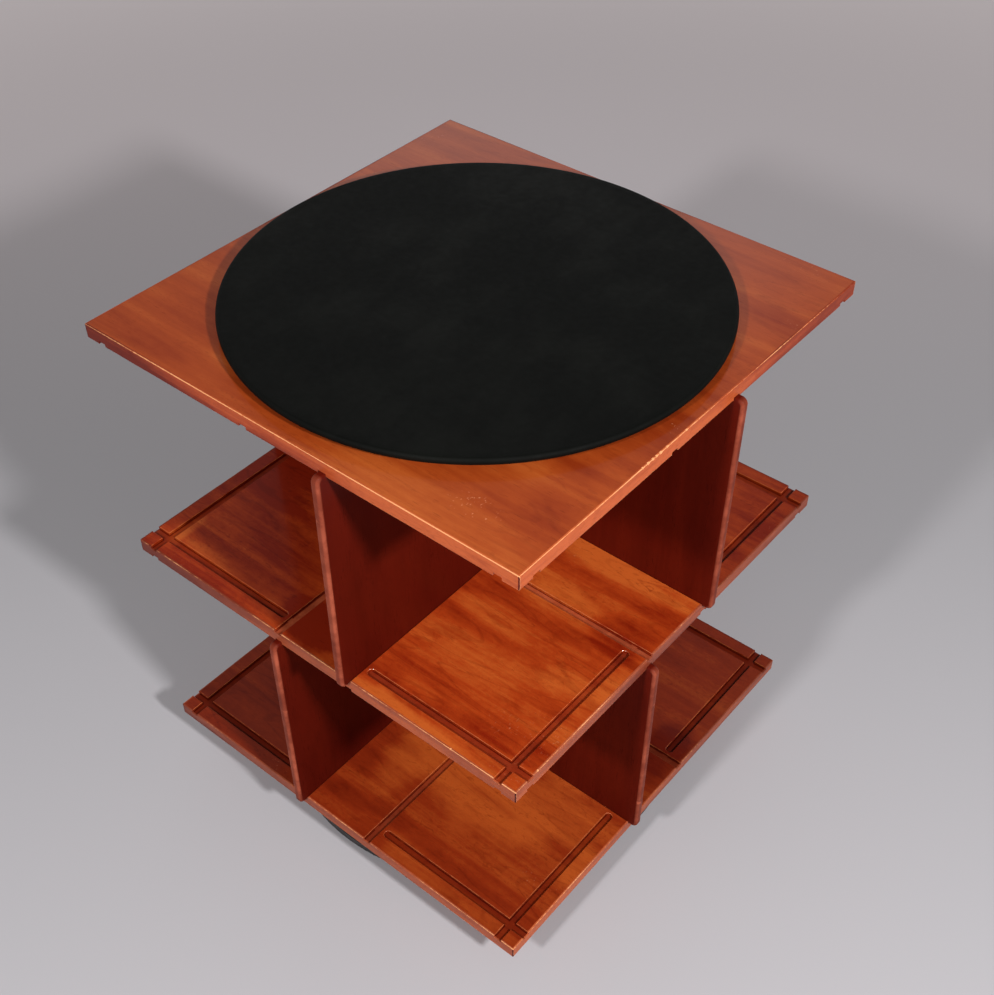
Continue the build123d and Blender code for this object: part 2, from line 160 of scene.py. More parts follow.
class Graph:
    """A node tree, emptied and ready for new nodes."""

    def __init__(self, owner: bpy.types.Material | bpy.types.World) -> None:
        """Takes over the nodes of a material or a world.

        Args:
            owner: What the nodes belong to.
        """
        self.owner = owner
        owner.use_nodes = True
        self.tree = owner.node_tree
        self.tree.nodes.clear()

    @classmethod
    def of_material(cls, name: str) -> "Graph":
        """The nodes of a new material with that name."""
        return cls(bpy.data.materials.new(name))

    def node(self, kind: str, settings: dict | None = None, sockets: dict | None = None) -> bpy.types.Node:
        """Adds one node.

        Args:
            kind: The node's type.
            settings: Its own settings, which are set first; stops are a colour ramp's.
            sockets: Values or links of its input sockets, by name or number.

        Returns:
            The new node.
        """
        made = self.tree.nodes.new(kind)
        for name, value in (settings or {}).items():
            if name == "stops":
                self.set_stops(made.color_ramp, value)
            else:
                setattr(made, name, value)
        for key, value in (sockets or {}).items():
            if isinstance(value, Signal):
                self.tree.links.new(value.socket, made.inputs[key])
            else:
                made.inputs[key].default_value = value
        return made

    @staticmethod
    def set_stops(ramp: bpy.types.ColorRamp, stops: list[tuple[float, Colour]]) -> None:
        """Gives a colour ramp its stops.

        Args:
            ramp: The ramp, which is new and has two stops.
            stops: Place and colour of each.
        """
        while len(ramp.elements) < len(stops):
            ramp.elements.new(1.0)
        for element, (place, colour) in zip(ramp.elements, stops):
            element.position = place
            element.color = colour

    def signal(self, kind: str, settings: dict | None = None, sockets: dict | None = None,
               output: str | int = 0) -> Signal:
        """One output of a new node, ready for arithmetic."""
        return Signal(self, self.node(kind, settings, sockets).outputs[output])

    def place(self) -> Signal:
        """Where a point is in the shared frame."""
        return self.signal("ShaderNodeTexCoord", output="Object")

    def wear_and_sheen(self) -> Signal:
        """How worn a point is and how much painted highlight and sheen it carries, from the piece's own
        attribute.
        """
        return self.signal("ShaderNodeAttribute", {"attribute_name": WEAR_AND_SHEEN}, output="Fac")

    def parts(self, vector: Signal) -> tuple[Signal, Signal, Signal]:
        """The three numbers of a vector."""
        split = self.node("ShaderNodeSeparateXYZ", sockets={0: vector})
        return tuple(Signal(self, split.outputs[axis]) for axis in range(3))

    def vector(self, x: Signal | float, y: Signal | float, z: Signal | float) -> Signal:
        """A vector of three numbers."""
        return self.signal("ShaderNodeCombineXYZ", sockets={0: x, 1: y, 2: z})

    def noise(self, place: Signal, stretch: Triple, shift: Triple = (0.0, 0.0, 0.0), detail: float = 2.0,
              roughness: float = 0.5, distortion: float = 0.0) -> Signal:
        """Fractal noise, about 0.5 on average, of a place that is stretched along each axis.

        Args:
            place: Where the noise is read.
            stretch: Cells for each metre along each axis.
            shift: What is added afterwards, so that two noises differ.
            detail: Number of finer layers.
            roughness: Weight of the finer layers.
            distortion: How far the pattern is pulled about.

        Returns:
            The noise.
        """
        settings = {"operation": "MULTIPLY_ADD"}
        read = self.signal("ShaderNodeVectorMath", settings, {0: place, 1: stretch, 2: shift})
        sockets = {"Vector": read, "Scale": 1.0, "Detail": detail, "Roughness": roughness,
                   "Distortion": distortion}
        return self.signal("ShaderNodeTexNoise", {"noise_dimensions": "3D"}, sockets)

    def colours(self, along: Signal, stops: list[tuple[float, Colour]]) -> Signal:
        """A colour ramp read at a signal."""
        return self.signal("ShaderNodeValToRGB", {"stops": stops}, {0: along})

    def mix(self, share: Signal | float, first: Signal | Colour, second: Signal | Colour,
            way: str = "MIX") -> Signal:
        """Two colours blended.

        Args:
            share: 0 for the first colour alone, 1 for the whole blend.
            first: One colour.
            second: The other, which replaces the first unless way says otherwise.
            way: The Mix node's way of blending.

        Returns:
            The blended colour.
        """
        settings = {"data_type": "RGBA", "blend_type": way}
        return self.signal("ShaderNodeMix", settings, {0: share, 6: first, 7: second}, output=2)

    def multiply(self, share: Signal | float, first: Signal | Colour, second: Signal | Colour) -> Signal:
        """The first colour, multiplied by the second as far as share says."""
        return self.mix(share, first, second, "MULTIPLY")

    def bump(self, height: Signal, distance: float) -> Signal:
        """A normal bent by a height; distance is the height of 1 in metres."""
        return self.signal("ShaderNodeBump", sockets={"Height": height, "Distance": distance})

    def surface(self, **sockets: Signal | float | Colour) -> bpy.types.Material:
        """Ends the tree in a Principled shader.

        Args:
            sockets: Values or links of the shader's sockets, named with _ for a blank.

        Returns:
            The finished material.
        """
        named = {name.replace("_", " "): value for name, value in sockets.items()}
        shader = self.node("ShaderNodeBsdfPrincipled", sockets=named)
        output = self.node("ShaderNodeOutputMaterial")
        self.tree.links.new(shader.outputs[0], output.inputs["Surface"])
        return self.owner


# --- Finishes ---


class Grain(Enum):
    """Which way the grain of a board runs."""

    ACROSS_THE_CASE = "along X"
    UPRIGHT = "along Z"
    ALONG_THE_EDGE = "along the nearer edge"


@dataclass(frozen=True)
class Timber:
    """Varnished red-brown wood: streaks, fibres, pores and clouds stretched along its grain."""

    name: str
    dark: Colour
    middle: Colour
    pale: Colour
    grain: Grain
    contrast: float = 1.0
    pore_share: float = 0.5
    paling: float = 0.0
    figure: float = 0.5
    varnish: float = 0.9
    varnish_roughness: float = 0.13
    wood_roughness: float = 0.5
    wood_gloss: float = 0.08
    pore_depth: float = 0.03 * MM
    vein_colour: Colour = tint(170, 125, 110)
    pore_colour: Colour = tint(120, 80, 80)

    def material(self) -> bpy.types.Material:
        """Builds the material of plain wood."""
        graph = Graph.of_material(self.name)
        return self.finish(graph, *self.wood(graph))

    def lie(self, graph: Graph) -> Signal:
        """The place with its grain turned to lie along the first axis.

        Args:
            graph: The material's graph.

        Returns:
            The turned place, which is the same for boards that share a grain.
        """
        x, y, z = graph.parts(graph.place())
        if self.grain is Grain.ACROSS_THE_CASE:
            return graph.vector(x, y, z)
        if self.grain is Grain.UPRIGHT:
            return graph.vector(z, x, y)
        on_side = abs(x).over(abs(y))
        along = y * on_side + x * (1 - on_side)
        return graph.vector(along, z, on_side * 0.7)

    def wood(self, graph: Graph) -> tuple[Signal, Signal]:
        """Colour and pores of the bare wood.

        Args:
            graph: The material's graph.

        Returns:
            The colour, and a mask that is 1 in the pores.
        """
        lie = self.lie(graph)
        ribbon = graph.noise(lie, (2.0, 28.0, 12.0), detail=3.0, roughness=0.6, distortion=0.5)
        streak = graph.noise(lie, (8.0, 110.0, 60.0), (3.0, 0.0, 5.0), detail=3.0, roughness=0.55)
        fibre = graph.noise(lie, (30.0, 700.0, 700.0), (0.0, 7.0, 1.0))
        cloud = graph.noise(lie, (6.0, 9.0, 7.0), (9.0, 1.0, 2.0), detail=4.0, roughness=0.65)
        ripple = graph.noise(lie, (55.0, 80.0, 40.0), (0.0, 2.0, 6.0), detail=4.0, roughness=0.65,
                             distortion=1.8)
        tone = (ribbon - 0.5) * 1.9 + (streak - 0.5) * 0.6 + (cloud - 0.5) * 0.9
        tone = 0.5 + (tone + (fibre - 0.5) * 0.2 + (ripple - 0.5) * self.figure) * self.contrast
        tone = tone + self.tone_shift(graph)
        colour = graph.colours(tone, [(0.05, self.dark), (0.5, self.middle), (0.95, self.pale)])
        layers = graph.noise(lie, (3.0, 16.0, 16.0), (6.0, 3.0, 0.0), detail=3.0, distortion=0.8)
        vein = (layers * 50.0).wave().ramp(0.7, 1.0) * cloud.ramp(0.6, 0.45)
        fleck = graph.noise(lie, (70.0, 150.0, 90.0), (2.0, 4.0, 8.0), detail=3.0, distortion=1.5)
        mottle = fleck.ramp(0.56, 0.68) * ribbon.ramp(0.45, 0.6)
        colour = graph.multiply((vein * 0.5 + mottle * 0.7) * self.figure, colour, self.vein_colour)
        dash = graph.noise(lie, (70.0, 1500.0, 1500.0), (1.0, 2.0, 3.0), detail=1.0)
        pores = dash.ramp(0.62, 0.72) * streak.ramp(0.42, 0.6)
        return graph.multiply(pores * self.pore_share, colour, self.pore_colour), pores

    def tone_shift(self, graph: Graph) -> Signal:
        """How much paler the wood is made towards the case's corner at +X, -Y.

        Args:
            graph: The material's graph.

        Returns:
            What is added to the tone.
        """
        x, y, _ = graph.parts(graph.place())
        towards_front_corner = ((x - y) / (CAD_BOX[1].x - CAD_BOX[0].x)).ramp(0.0, 0.85)
        return (towards_front_corner - 0.5) * self.paling

    def finish(self, graph: Graph, colour: Signal, pores: Signal, worn: Signal | float = 0.0
               ) -> bpy.types.Material:
        """Varnishes the wood, thinner in pores and gone where it is worn.

        Args:
            graph: The material's graph.
            colour: The wood's colour.
            pores: Mask of the pores.
            worn: Share of the varnish that is gone.

        Returns:
            The finished material.
        """
        coat = (1.0 - pores * 0.25 - worn).larger(0.0)
        return graph.surface(
            Base_Color=colour,
            Roughness=self.wood_roughness + pores * 0.2,
            Specular_IOR_Level=self.wood_gloss,
            Normal=graph.bump(pores, -self.pore_depth),
            Coat_Weight=coat * self.varnish,
            Coat_Roughness=self.varnish_roughness,
        )


@dataclass(frozen=True)
class Ellipse:
    """An ellipse on a slab's face, seen from above."""

    x: float
    y: float
    reach_x: float
    reach_y: float

    def spread(self, x: Signal, y: Signal) -> Signal:
        """Square of the distance from the middle: 0 there, and 1 on the ellipse."""
        across, up = (x - self.x) / self.reach_x, (y - self.y) / self.reach_y
        return across * across + up * up


@dataclass(frozen=True)
class Patch(Ellipse):
    """A soft patch of a slab's tone, paler, or darker where change is negative: some are the wood's own
    tone, and some of the dark ones are painted shade beside the dividers.
    """

    change: float


@dataclass(frozen=True)
class Veneer(Timber):
    """The faces of a slab, with dust, dirt and painted shade in its grooves and small marks where things
    were set down.
    """

    low: float = 0.0
    high: float = 0.0
    patches: tuple[Patch, ...] = ()
    marks: tuple[Ellipse, ...] = ()
    dustiness: float = 0.8
    mark_colour: Colour = tint(248, 172, 128)
    lip_rub_and_highlight_colour: Colour = tint(222, 130, 76)
    floor_painted_shade: Colour = tint(200, 165, 155)
    dust: Colour = tint(194, 96, 60)
    grime_and_shade: Colour = tint(140, 60, 46)

    def material(self) -> bpy.types.Material:
        """Builds the material.

        Returns:
            The material of the slab.
        """
        graph = Graph.of_material(self.name)
        place = graph.place()
        colour, pores = self.wood(graph)
        colour, below_lip = self.in_grooves(graph, colour, place)
        worn = self.scratches(graph, place)
        colour = graph.mix(worn * 0.55, colour, self.mark_colour)
        return self.finish(graph, colour, pores, worn * 0.5 + below_lip * 0.9)

    def tone_shift(self, graph: Graph) -> Signal:
        """The paling towards the case's front corner, and this slab's own patches of tone and painted shade,
        their outlines pulled about.

        Args:
            graph: The material's graph.

        Returns:
            What is added to the tone.
        """
        x, y, _ = graph.parts(graph.place())
        sway = graph.noise(graph.place(), (14.0, 22.0, 0.0), (1.0, 6.0, 0.0), detail=4.0, roughness=0.65)
        total = super().tone_shift(graph)
        for patch in self.patches:
            spread = patch.spread(x, y) + (sway - 0.5) * 2.0
            total = total + spread.ramp(2.0, 0.0) * patch.change
        return total

    def in_grooves(self, graph: Graph, colour: Signal, place: Signal) -> tuple[Signal, Signal]:
        """Pales the grooves' lips with rub and painted highlight, darkens their floors with painted shade,
        dusts them, and lays dirt and painted shade on walls and corners.

        Args:
            graph: The material's graph.
            colour: The wood's colour.
            place: Where a point is.

        Returns:
            The new colour, and a mask that is 1 in the grooves, where little varnish is left.
        """
        x, y, z = graph.parts(place)
        inside = (self.high - z).smaller(z - self.low)
        in_slot, in_arm = (
            (GROOVE_HALF - abs(abs(x) - middle)).larger(GROOVE_HALF - abs(abs(y) - middle))
            for middle in groove_middles()
        )
        from_wall = in_slot.larger(in_arm)
        patchy = graph.noise(place, (60.0, 60.0, 60.0), detail=4.0, roughness=0.7)
        lip = inside.ramp(0.0, GROOVE_LIP * 0.25) * inside.ramp(GROOVE_LIP * 1.6, GROOVE_LIP)
        below_lip = inside.ramp(GROOVE_LIP, GROOVE_LIP * 2)
        floor = inside.ramp(GROOVE_DEPTH * 0.95, GROOVE_DEPTH * 0.99)
        wall = below_lip * (1.0 - floor)
        corner = floor * from_wall.ramp(1.9 * MM, 0.8 * MM)
        # Painted highlight: the pale line on the groove lips is rub and a painted highlight on the chamfer.
        colour = graph.mix(lip * patchy.ramp(0.3, 0.6) * 0.5, colour, self.lip_rub_and_highlight_colour)
        # Painted shade: the groove floors are darkened as if in the recess's shade.
        colour = graph.multiply(floor, colour, self.floor_painted_shade)
        dusty = floor * (in_slot.over(0.0) * 0.8 + 0.2) * (0.6 + patchy.ramp(0.4, 0.65) * 0.4)
        colour = graph.mix(dusty * self.dustiness, colour, self.dust)
        # Dirt and painted shade: the groove walls and the floor corners are darkened where shade falls.
        dirt_and_shade = (wall * 0.3).larger(corner * patchy.ramp(0.2, 0.45) * 0.85)
        return graph.multiply(dirt_and_shade, colour, self.grime_and_shade), below_lip

    def scratches(self, graph: Graph, place: Signal) -> Signal:
        """Fine specks and short hairlines inside each mark's ellipse, and a few everywhere.

        Args:
            graph: The material's graph.
            place: Where a point is.

        Returns:
            A mask that is 1 on the scratches.
        """
        x, y, _ = graph.parts(place)
        speck = graph.noise(place, (330.0, 330.0, 330.0), detail=1.0).ramp(0.7, 0.74)
        hair = graph.noise(place, (700.0, 110.0, 110.0), (4.0, 0.0, 0.0), detail=1.0).ramp(0.73, 0.76)
        near = graph.noise(place, (9.0, 9.0, 9.0), (7.0, 7.0, 0.0)).ramp(0.6, 0.75) * 0.35
        for mark in self.marks:
            near = near + mark.spread(x, y).ramp(1.0, 0.2)
        return (speck.larger(hair) * near).smaller(1.0)


@dataclass(frozen=True)
class EdgeBand(Timber):
    """The lipping round a slab: dark at the corner joints, paler and thin in varnish where worn, with a
    painted highlight along the upper arris.
    """

    joint_colour: Colour = tint(115, 60, 50)
    worn_and_highlight_colour: Colour = tint(255, 178, 122)
    half_side: float = 0.3
    joint_width: float = 1.2 * MM

    def material(self) -> bpy.types.Material:
        """Builds the material.

        Returns:
            The material of a slab's lipping.
        """
        graph = Graph.of_material(self.name)
        place = graph.place()
        x, y, _ = graph.parts(place)
        colour, pores = self.wood(graph)
        from_corner = 2 * self.half_side - (abs(x) + abs(y))
        joint = from_corner.ramp(self.joint_width * 1.4, self.joint_width * 0.7)
        colour = graph.multiply(joint, colour, self.joint_colour)
        patchy = graph.noise(place, (200.0, 200.0, 200.0), detail=3.0, roughness=0.65)
        worn = (graph.wear_and_sheen() + patchy).ramp(0.8, 1.3)
        # Painted highlight: the pale colour along the upper arris is wear and a painted highlight of the
        # lamps.
        colour = graph.mix(worn * 0.9, colour, self.worn_and_highlight_colour)
        return self.finish(graph, colour, pores, worn * 0.5)


@dataclass(frozen=True)
class Panel(Timber):
    """The dividers: upright grain under a deep red varnish, rubbed paler along the front edges, where the
    pale colour is also a painted sheen.
    """

    rubbed_and_sheen_colour: Colour = tint(188, 96, 70)

    def material(self) -> bpy.types.Material:
        """Builds the material.

        Returns:
            The material of the dividers.
        """
        graph = Graph.of_material(self.name)
        colour, pores = self.wood(graph)
        wear_and_sheen = graph.wear_and_sheen()
        patchy = graph.noise(graph.place(), (60.0, 60.0, 60.0), detail=4.0, roughness=0.6)
        # Painted sheen: the pale front edges are rubbed wood and a painted sheen of light on the rounded
        # noses.
        colour = graph.mix(wear_and_sheen * (0.55 + patchy.ramp(0.35, 0.65) * 0.45), colour, self.rubbed_and_sheen_colour)
        return self.finish(graph, colour, pores, wear_and_sheen)


@dataclass(frozen=True)
class Leather:
    """Smooth black leather, a little mottled by handling, with a fine closed grain."""

    name: str
    colour: Colour
    rubbed: Colour
    roughness: float = 0.7
    gloss: float = 0.1
    cells_per_metre: float = 900.0
    grain_height: float = 0.04 * MM

    def material(self) -> bpy.types.Material:
        """Builds the material.

        Returns:
            The material of the disc's skin.
        """
        graph = Graph.of_material(self.name)
        place = graph.place()
        cloud = graph.noise(place, (7.0, 7.0, 7.0), detail=4.0, roughness=0.6)
        smear = graph.noise(place, (30.0, 12.0, 12.0), (5.0, 0.0, 0.0), detail=3.0, distortion=0.8)
        rubbed = (cloud * 0.7 + smear * 0.3).ramp(0.42, 0.68)
        grain = graph.signal("ShaderNodeTexVoronoi", {"feature": "DISTANCE_TO_EDGE"},
                             {"Vector": place, "Scale": self.cells_per_metre, "Randomness": 1.0})
        fold = graph.noise(place, (120.0, 120.0, 120.0), detail=3.0)
        return graph.surface(
            Base_Color=graph.mix(rubbed, self.colour, self.rubbed),
            Roughness=self.roughness + (fold - 0.5) * 0.2 - rubbed * 0.06,
            Normal=graph.bump(grain.ramp(0.0, 0.25) + fold * 1.4, self.grain_height),
            Specular_IOR_Level=self.gloss,
        )


@dataclass(frozen=True)
class Lacquer:
    """Sprayed black lacquer on board, with a slight orange peel."""

    name: str
    colour: Colour
    dust_colour: Colour = tint(58, 54, 50)
    roughness: float = 0.34
    peel_height: float = 0.05 * MM

    def material(self) -> bpy.types.Material:
        """Builds the material.

        Returns:
            The material of the base disc.
        """
        graph = Graph.of_material(self.name)
        place = graph.place()
        peel = graph.noise(place, (260.0, 260.0, 260.0))
        dust = graph.noise(place, (40.0, 40.0, 40.0), (3.0, 1.0, 0.0), detail=4.0, roughness=0.7)
        return graph.surface(
            Base_Color=graph.mix(dust.ramp(0.5, 0.8) * 0.5, self.colour, self.dust_colour),
            Roughness=self.roughness + dust.ramp(0.4, 0.8) * 0.3,
            Normal=graph.bump(peel, self.peel_height),
        )


@dataclass(frozen=True)
class TurnedMetal:
    """Metal with fine rings left by the lathe, round the object's axis."""

    name: str
    colour: Colour
    roughness: float
    rings_per_metre: float = 1400.0
    ring_height: float = 0.006 * MM
    dull_shade: Colour = tint(190, 186, 180)

    def material(self) -> bpy.types.Material:
        """Builds the material: the height is noise read along the distance from the axis.

        Returns:
            The material of the metal.
        """
        graph = Graph.of_material(self.name)
        place = graph.place()
        x, y, z = graph.parts(place)
        radius = (x * x + y * y).root()
        line = graph.vector(radius * self.rings_per_metre, z * self.rings_per_metre, 0.0)
        rings = graph.noise(line, (1.0, 1.0, 1.0))
        dull = graph.noise(place, (50.0, 50.0, 50.0), detail=4.0, roughness=0.6).ramp(0.45, 0.75)
        return graph.surface(
            Base_Color=graph.multiply(dull * 0.5, self.colour, self.dull_shade),
            Metallic=1.0,
            Roughness=self.roughness + dull * 0.15 + (rings - 0.5) * 0.1,
            Normal=graph.bump(rings, self.ring_height),
        )


@dataclass(frozen=True)
class Moulded:
    """Moulded nylon, faintly cloudy."""

    name: str
    colour: Colour
    haze_shade: Colour = tint(205, 200, 190)
    roughness: float = 0.45
    haze_height: float = 0.03 * MM

    def material(self) -> bpy.types.Material:
        """Builds the material.

        Returns:
            The material of the ball cages.
        """
        graph = Graph.of_material(self.name)
        haze = graph.noise(graph.place(), (90.0, 90.0, 90.0), detail=3.0)
        return graph.surface(
            Base_Color=graph.multiply(haze.ramp(0.35, 0.7) * 0.3, self.colour, self.haze_shade),
            Roughness=self.roughness + (haze - 0.5) * 0.2,
            Normal=graph.bump(haze, self.haze_height),
        )


@dataclass(frozen=True)
class Felt:
    """Pressed wool felt: short fibres in every direction."""

    name: str
    colour: Colour
    fibre_shade: Colour = tint(150, 150, 150)
    roughness: float = 0.95
    sheen: float = 0.3
    nap_height: float = 0.2 * MM

    def material(self) -> bpy.types.Material:
        """Builds the material.

        Returns:
            The material of the glides.
        """
        graph = Graph.of_material(self.name)
        place = graph.place()
        fibre = graph.noise(place, (900.0, 900.0, 900.0), detail=4.0, roughness=0.7, distortion=1.5)
        lump = graph.noise(place, (150.0, 150.0, 150.0))
        return graph.surface(
            Base_Color=graph.multiply(fibre.ramp(0.35, 0.65) * 0.6, self.colour, self.fibre_shade),
            Roughness=self.roughness,
            Sheen_Weight=self.sheen,
            Normal=graph.bump(fibre + lump, self.nap_height),
        )


@dataclass(frozen=True)
class ParticleBoard:
    """Pressed board with its chips showing, under a thin brown stain."""

    name: str
    colour: Colour
    chip: Colour
    roughness: float = 0.75
    chips_per_metre: Triple = (260.0, 420.0, 700.0)
    chip_height: float = 0.12 * MM

    def material(self) -> bpy.types.Material:
        """Builds the material: each chip is one cell of a stretched cell pattern.

        Returns:
            The material of the board.
        """
        graph = Graph.of_material(self.name)
        sockets = {0: graph.place(), 1: self.chips_per_metre}
        flat = graph.signal("ShaderNodeVectorMath", {"operation": "MULTIPLY"}, sockets)
        cells = graph.node("ShaderNodeTexVoronoi", sockets={"Vector": flat, "Scale": 1.0})
        shade = graph.parts(Signal(graph, cells.outputs["Color"]))[0]
        edge = Signal(graph, cells.outputs["Distance"])
        return graph.surface(
            Base_Color=graph.mix(shade * 0.6, self.colour, self.chip),
            Roughness=self.roughness,
            Normal=graph.bump(shade + edge * 0.5, self.chip_height),
        )


# --- Meshes ---


def new_piece(name: str, points: np.ndarray, faces: Faces, wear_and_sheen: np.ndarray | None = None
              ) -> bpy.types.Object:
    """A mesh object at the origin, smooth except at its creases, its faces outwards.

    Args:
        name: The piece's name.
        points: Its vertices, one row each, in metres.
        faces: Vertex numbers of each face.
        wear_and_sheen: How worn each vertex is and how much painted highlight and sheen it carries, from 0
            to 1.

    Returns:
        The new object, already in the scene.
    """
    mesh = bpy.data.meshes.new(name)
    mesh.from_pydata(points.tolist(), [], faces)
    if enclosed(mesh) < 0:
        mesh.flip_normals()
    mesh.polygons.foreach_set("use_smooth", np.ones(len(mesh.polygons), dtype=bool))
    mesh.set_sharp_from_angle(angle=CREASE)
    if wear_and_sheen is not None:
        attribute = mesh.attributes.new(WEAR_AND_SHEEN, "FLOAT", "POINT")
        attribute.data.foreach_set("value", wear_and_sheen.astype(np.float32))
    mesh.update()
    piece = bpy.data.objects.new(name, mesh)
    bpy.context.scene.collection.objects.link(piece)
    return piece


def enclosed(mesh: bpy.types.Mesh) -> float:
    """Volume inside a closed mesh: a sixth of the sum of its triangles' triple products.

    Args:
        mesh: The mesh.

    Returns:
        The volume, negative where the faces point inwards.
    """
    mesh.calc_loop_triangles()
    corners = np.zeros(len(mesh.loop_triangles) * 3, dtype=np.int32)
    mesh.loop_triangles.foreach_get("vertices", corners)
    places = np.zeros(len(mesh.vertices) * 3, dtype=np.float32)
    mesh.vertices.foreach_get("co", places)
    first, second, third = places.reshape(-1, 3)[corners.reshape(-1, 3)].transpose(1, 0, 2)
    return float(np.einsum("ij,ij->i", first, np.cross(second, third)).sum() / 6)


def strip_faces(stations: int, around: int) -> Faces:
    """Quads of a tube of closed sections, with an end cap at each end.

    Args:
        stations: Number of sections.
        around: Number of points in each.

    Returns:
        Vertex numbers of each face.
    """
    number = np.arange(stations * around).reshape(stations, around)
    beside = np.roll(number, -1, axis=1)
    quads = np.stack([number[:-1], beside[:-1], beside[1:], number[1:]], axis=-1)
    caps = [number[0, ::-1].tolist(), number[-1].tolist()]
    return [tuple(face) for face in quads.reshape(-1, 4).tolist() + caps]


def turned(points: np.ndarray, quarter_turns: int) -> np.ndarray:
    """Points turned about Z by a number of quarter turns."""
    cos, sin = ((1, 0), (0, 1), (-1, 0), (0, -1))[quarter_turns % 4]
    return points @ np.array([[cos, sin, 0.0], [-sin, cos, 0.0], [0.0, 0.0, 1.0]])


def drift(place: np.ndarray, rng: np.random.Generator, length: float, terms: int = 6) -> np.ndarray:
    """A slow random curve: a sum of sines, each shorter and weaker than the last.

    Args:
        place: Where the curve is read, in metres.
        rng: Source of the phases.
        length: The longest sine.
        terms: Number of sines.

    Returns:
        Values from -1 to 1.
    """
    waves = np.arange(1, terms + 1)
    phase = rng.uniform(0, 2 * math.pi, terms)
    angles = 2 * math.pi * np.outer(place / length, waves) + phase
    return (np.sin(angles) / waves).sum(axis=1) / (1 / waves).sum()


def dress(nodes: list[str], material: bpy.types.Material) -> None:
    """Gives every material slot of some CAD nodes one finish.

    Args:
        nodes: Names of the nodes.
        material: The finish.
    """
    for name in nodes:
        node = frame["nodes"][name]
        if not node.material_slots:
            node.data.materials.append(material)
        for slot in node.material_slots:
            slot.material = material
        log.info("%s wears %s", name, material.name)


def groove_middles() -> Pair:
    """How far the grooves' middles are from the axis: the dividers' own, and the arms near the edges."""
    low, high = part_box("upper_divider_front")
    return abs(low.x + high.x) / 2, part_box("top_slab_lippings")[1].x - ARM_INSET


def stand_for(piece: bpy.types.Object, node: str, material: bpy.types.Material) -> None:
    """Finishes a piece, rides it on the body that holds a node and shows it instead of the node.

    Args:
        piece: The new piece.
        node: The CAD node that it stands for.
        material: The piece's finish.
    """
    piece.data.materials.append(material)
    bodies = frame["record"]["behaviour"]["bodies"]
    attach(piece, next(body for body, held in bodies.items() if node in held))
    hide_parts(node)
    log.info("%s stands for %s with %d faces", piece.name, node, len(piece.data.polygons))


# --- Sub-assemblies ---


@dataclass(frozen=True)
class Chip:
    """A bite out of an arris: where it is along the strip, how long, how deep, and which arris."""

    side: int
    place: float
    length: float
    depth: float
    upper: bool


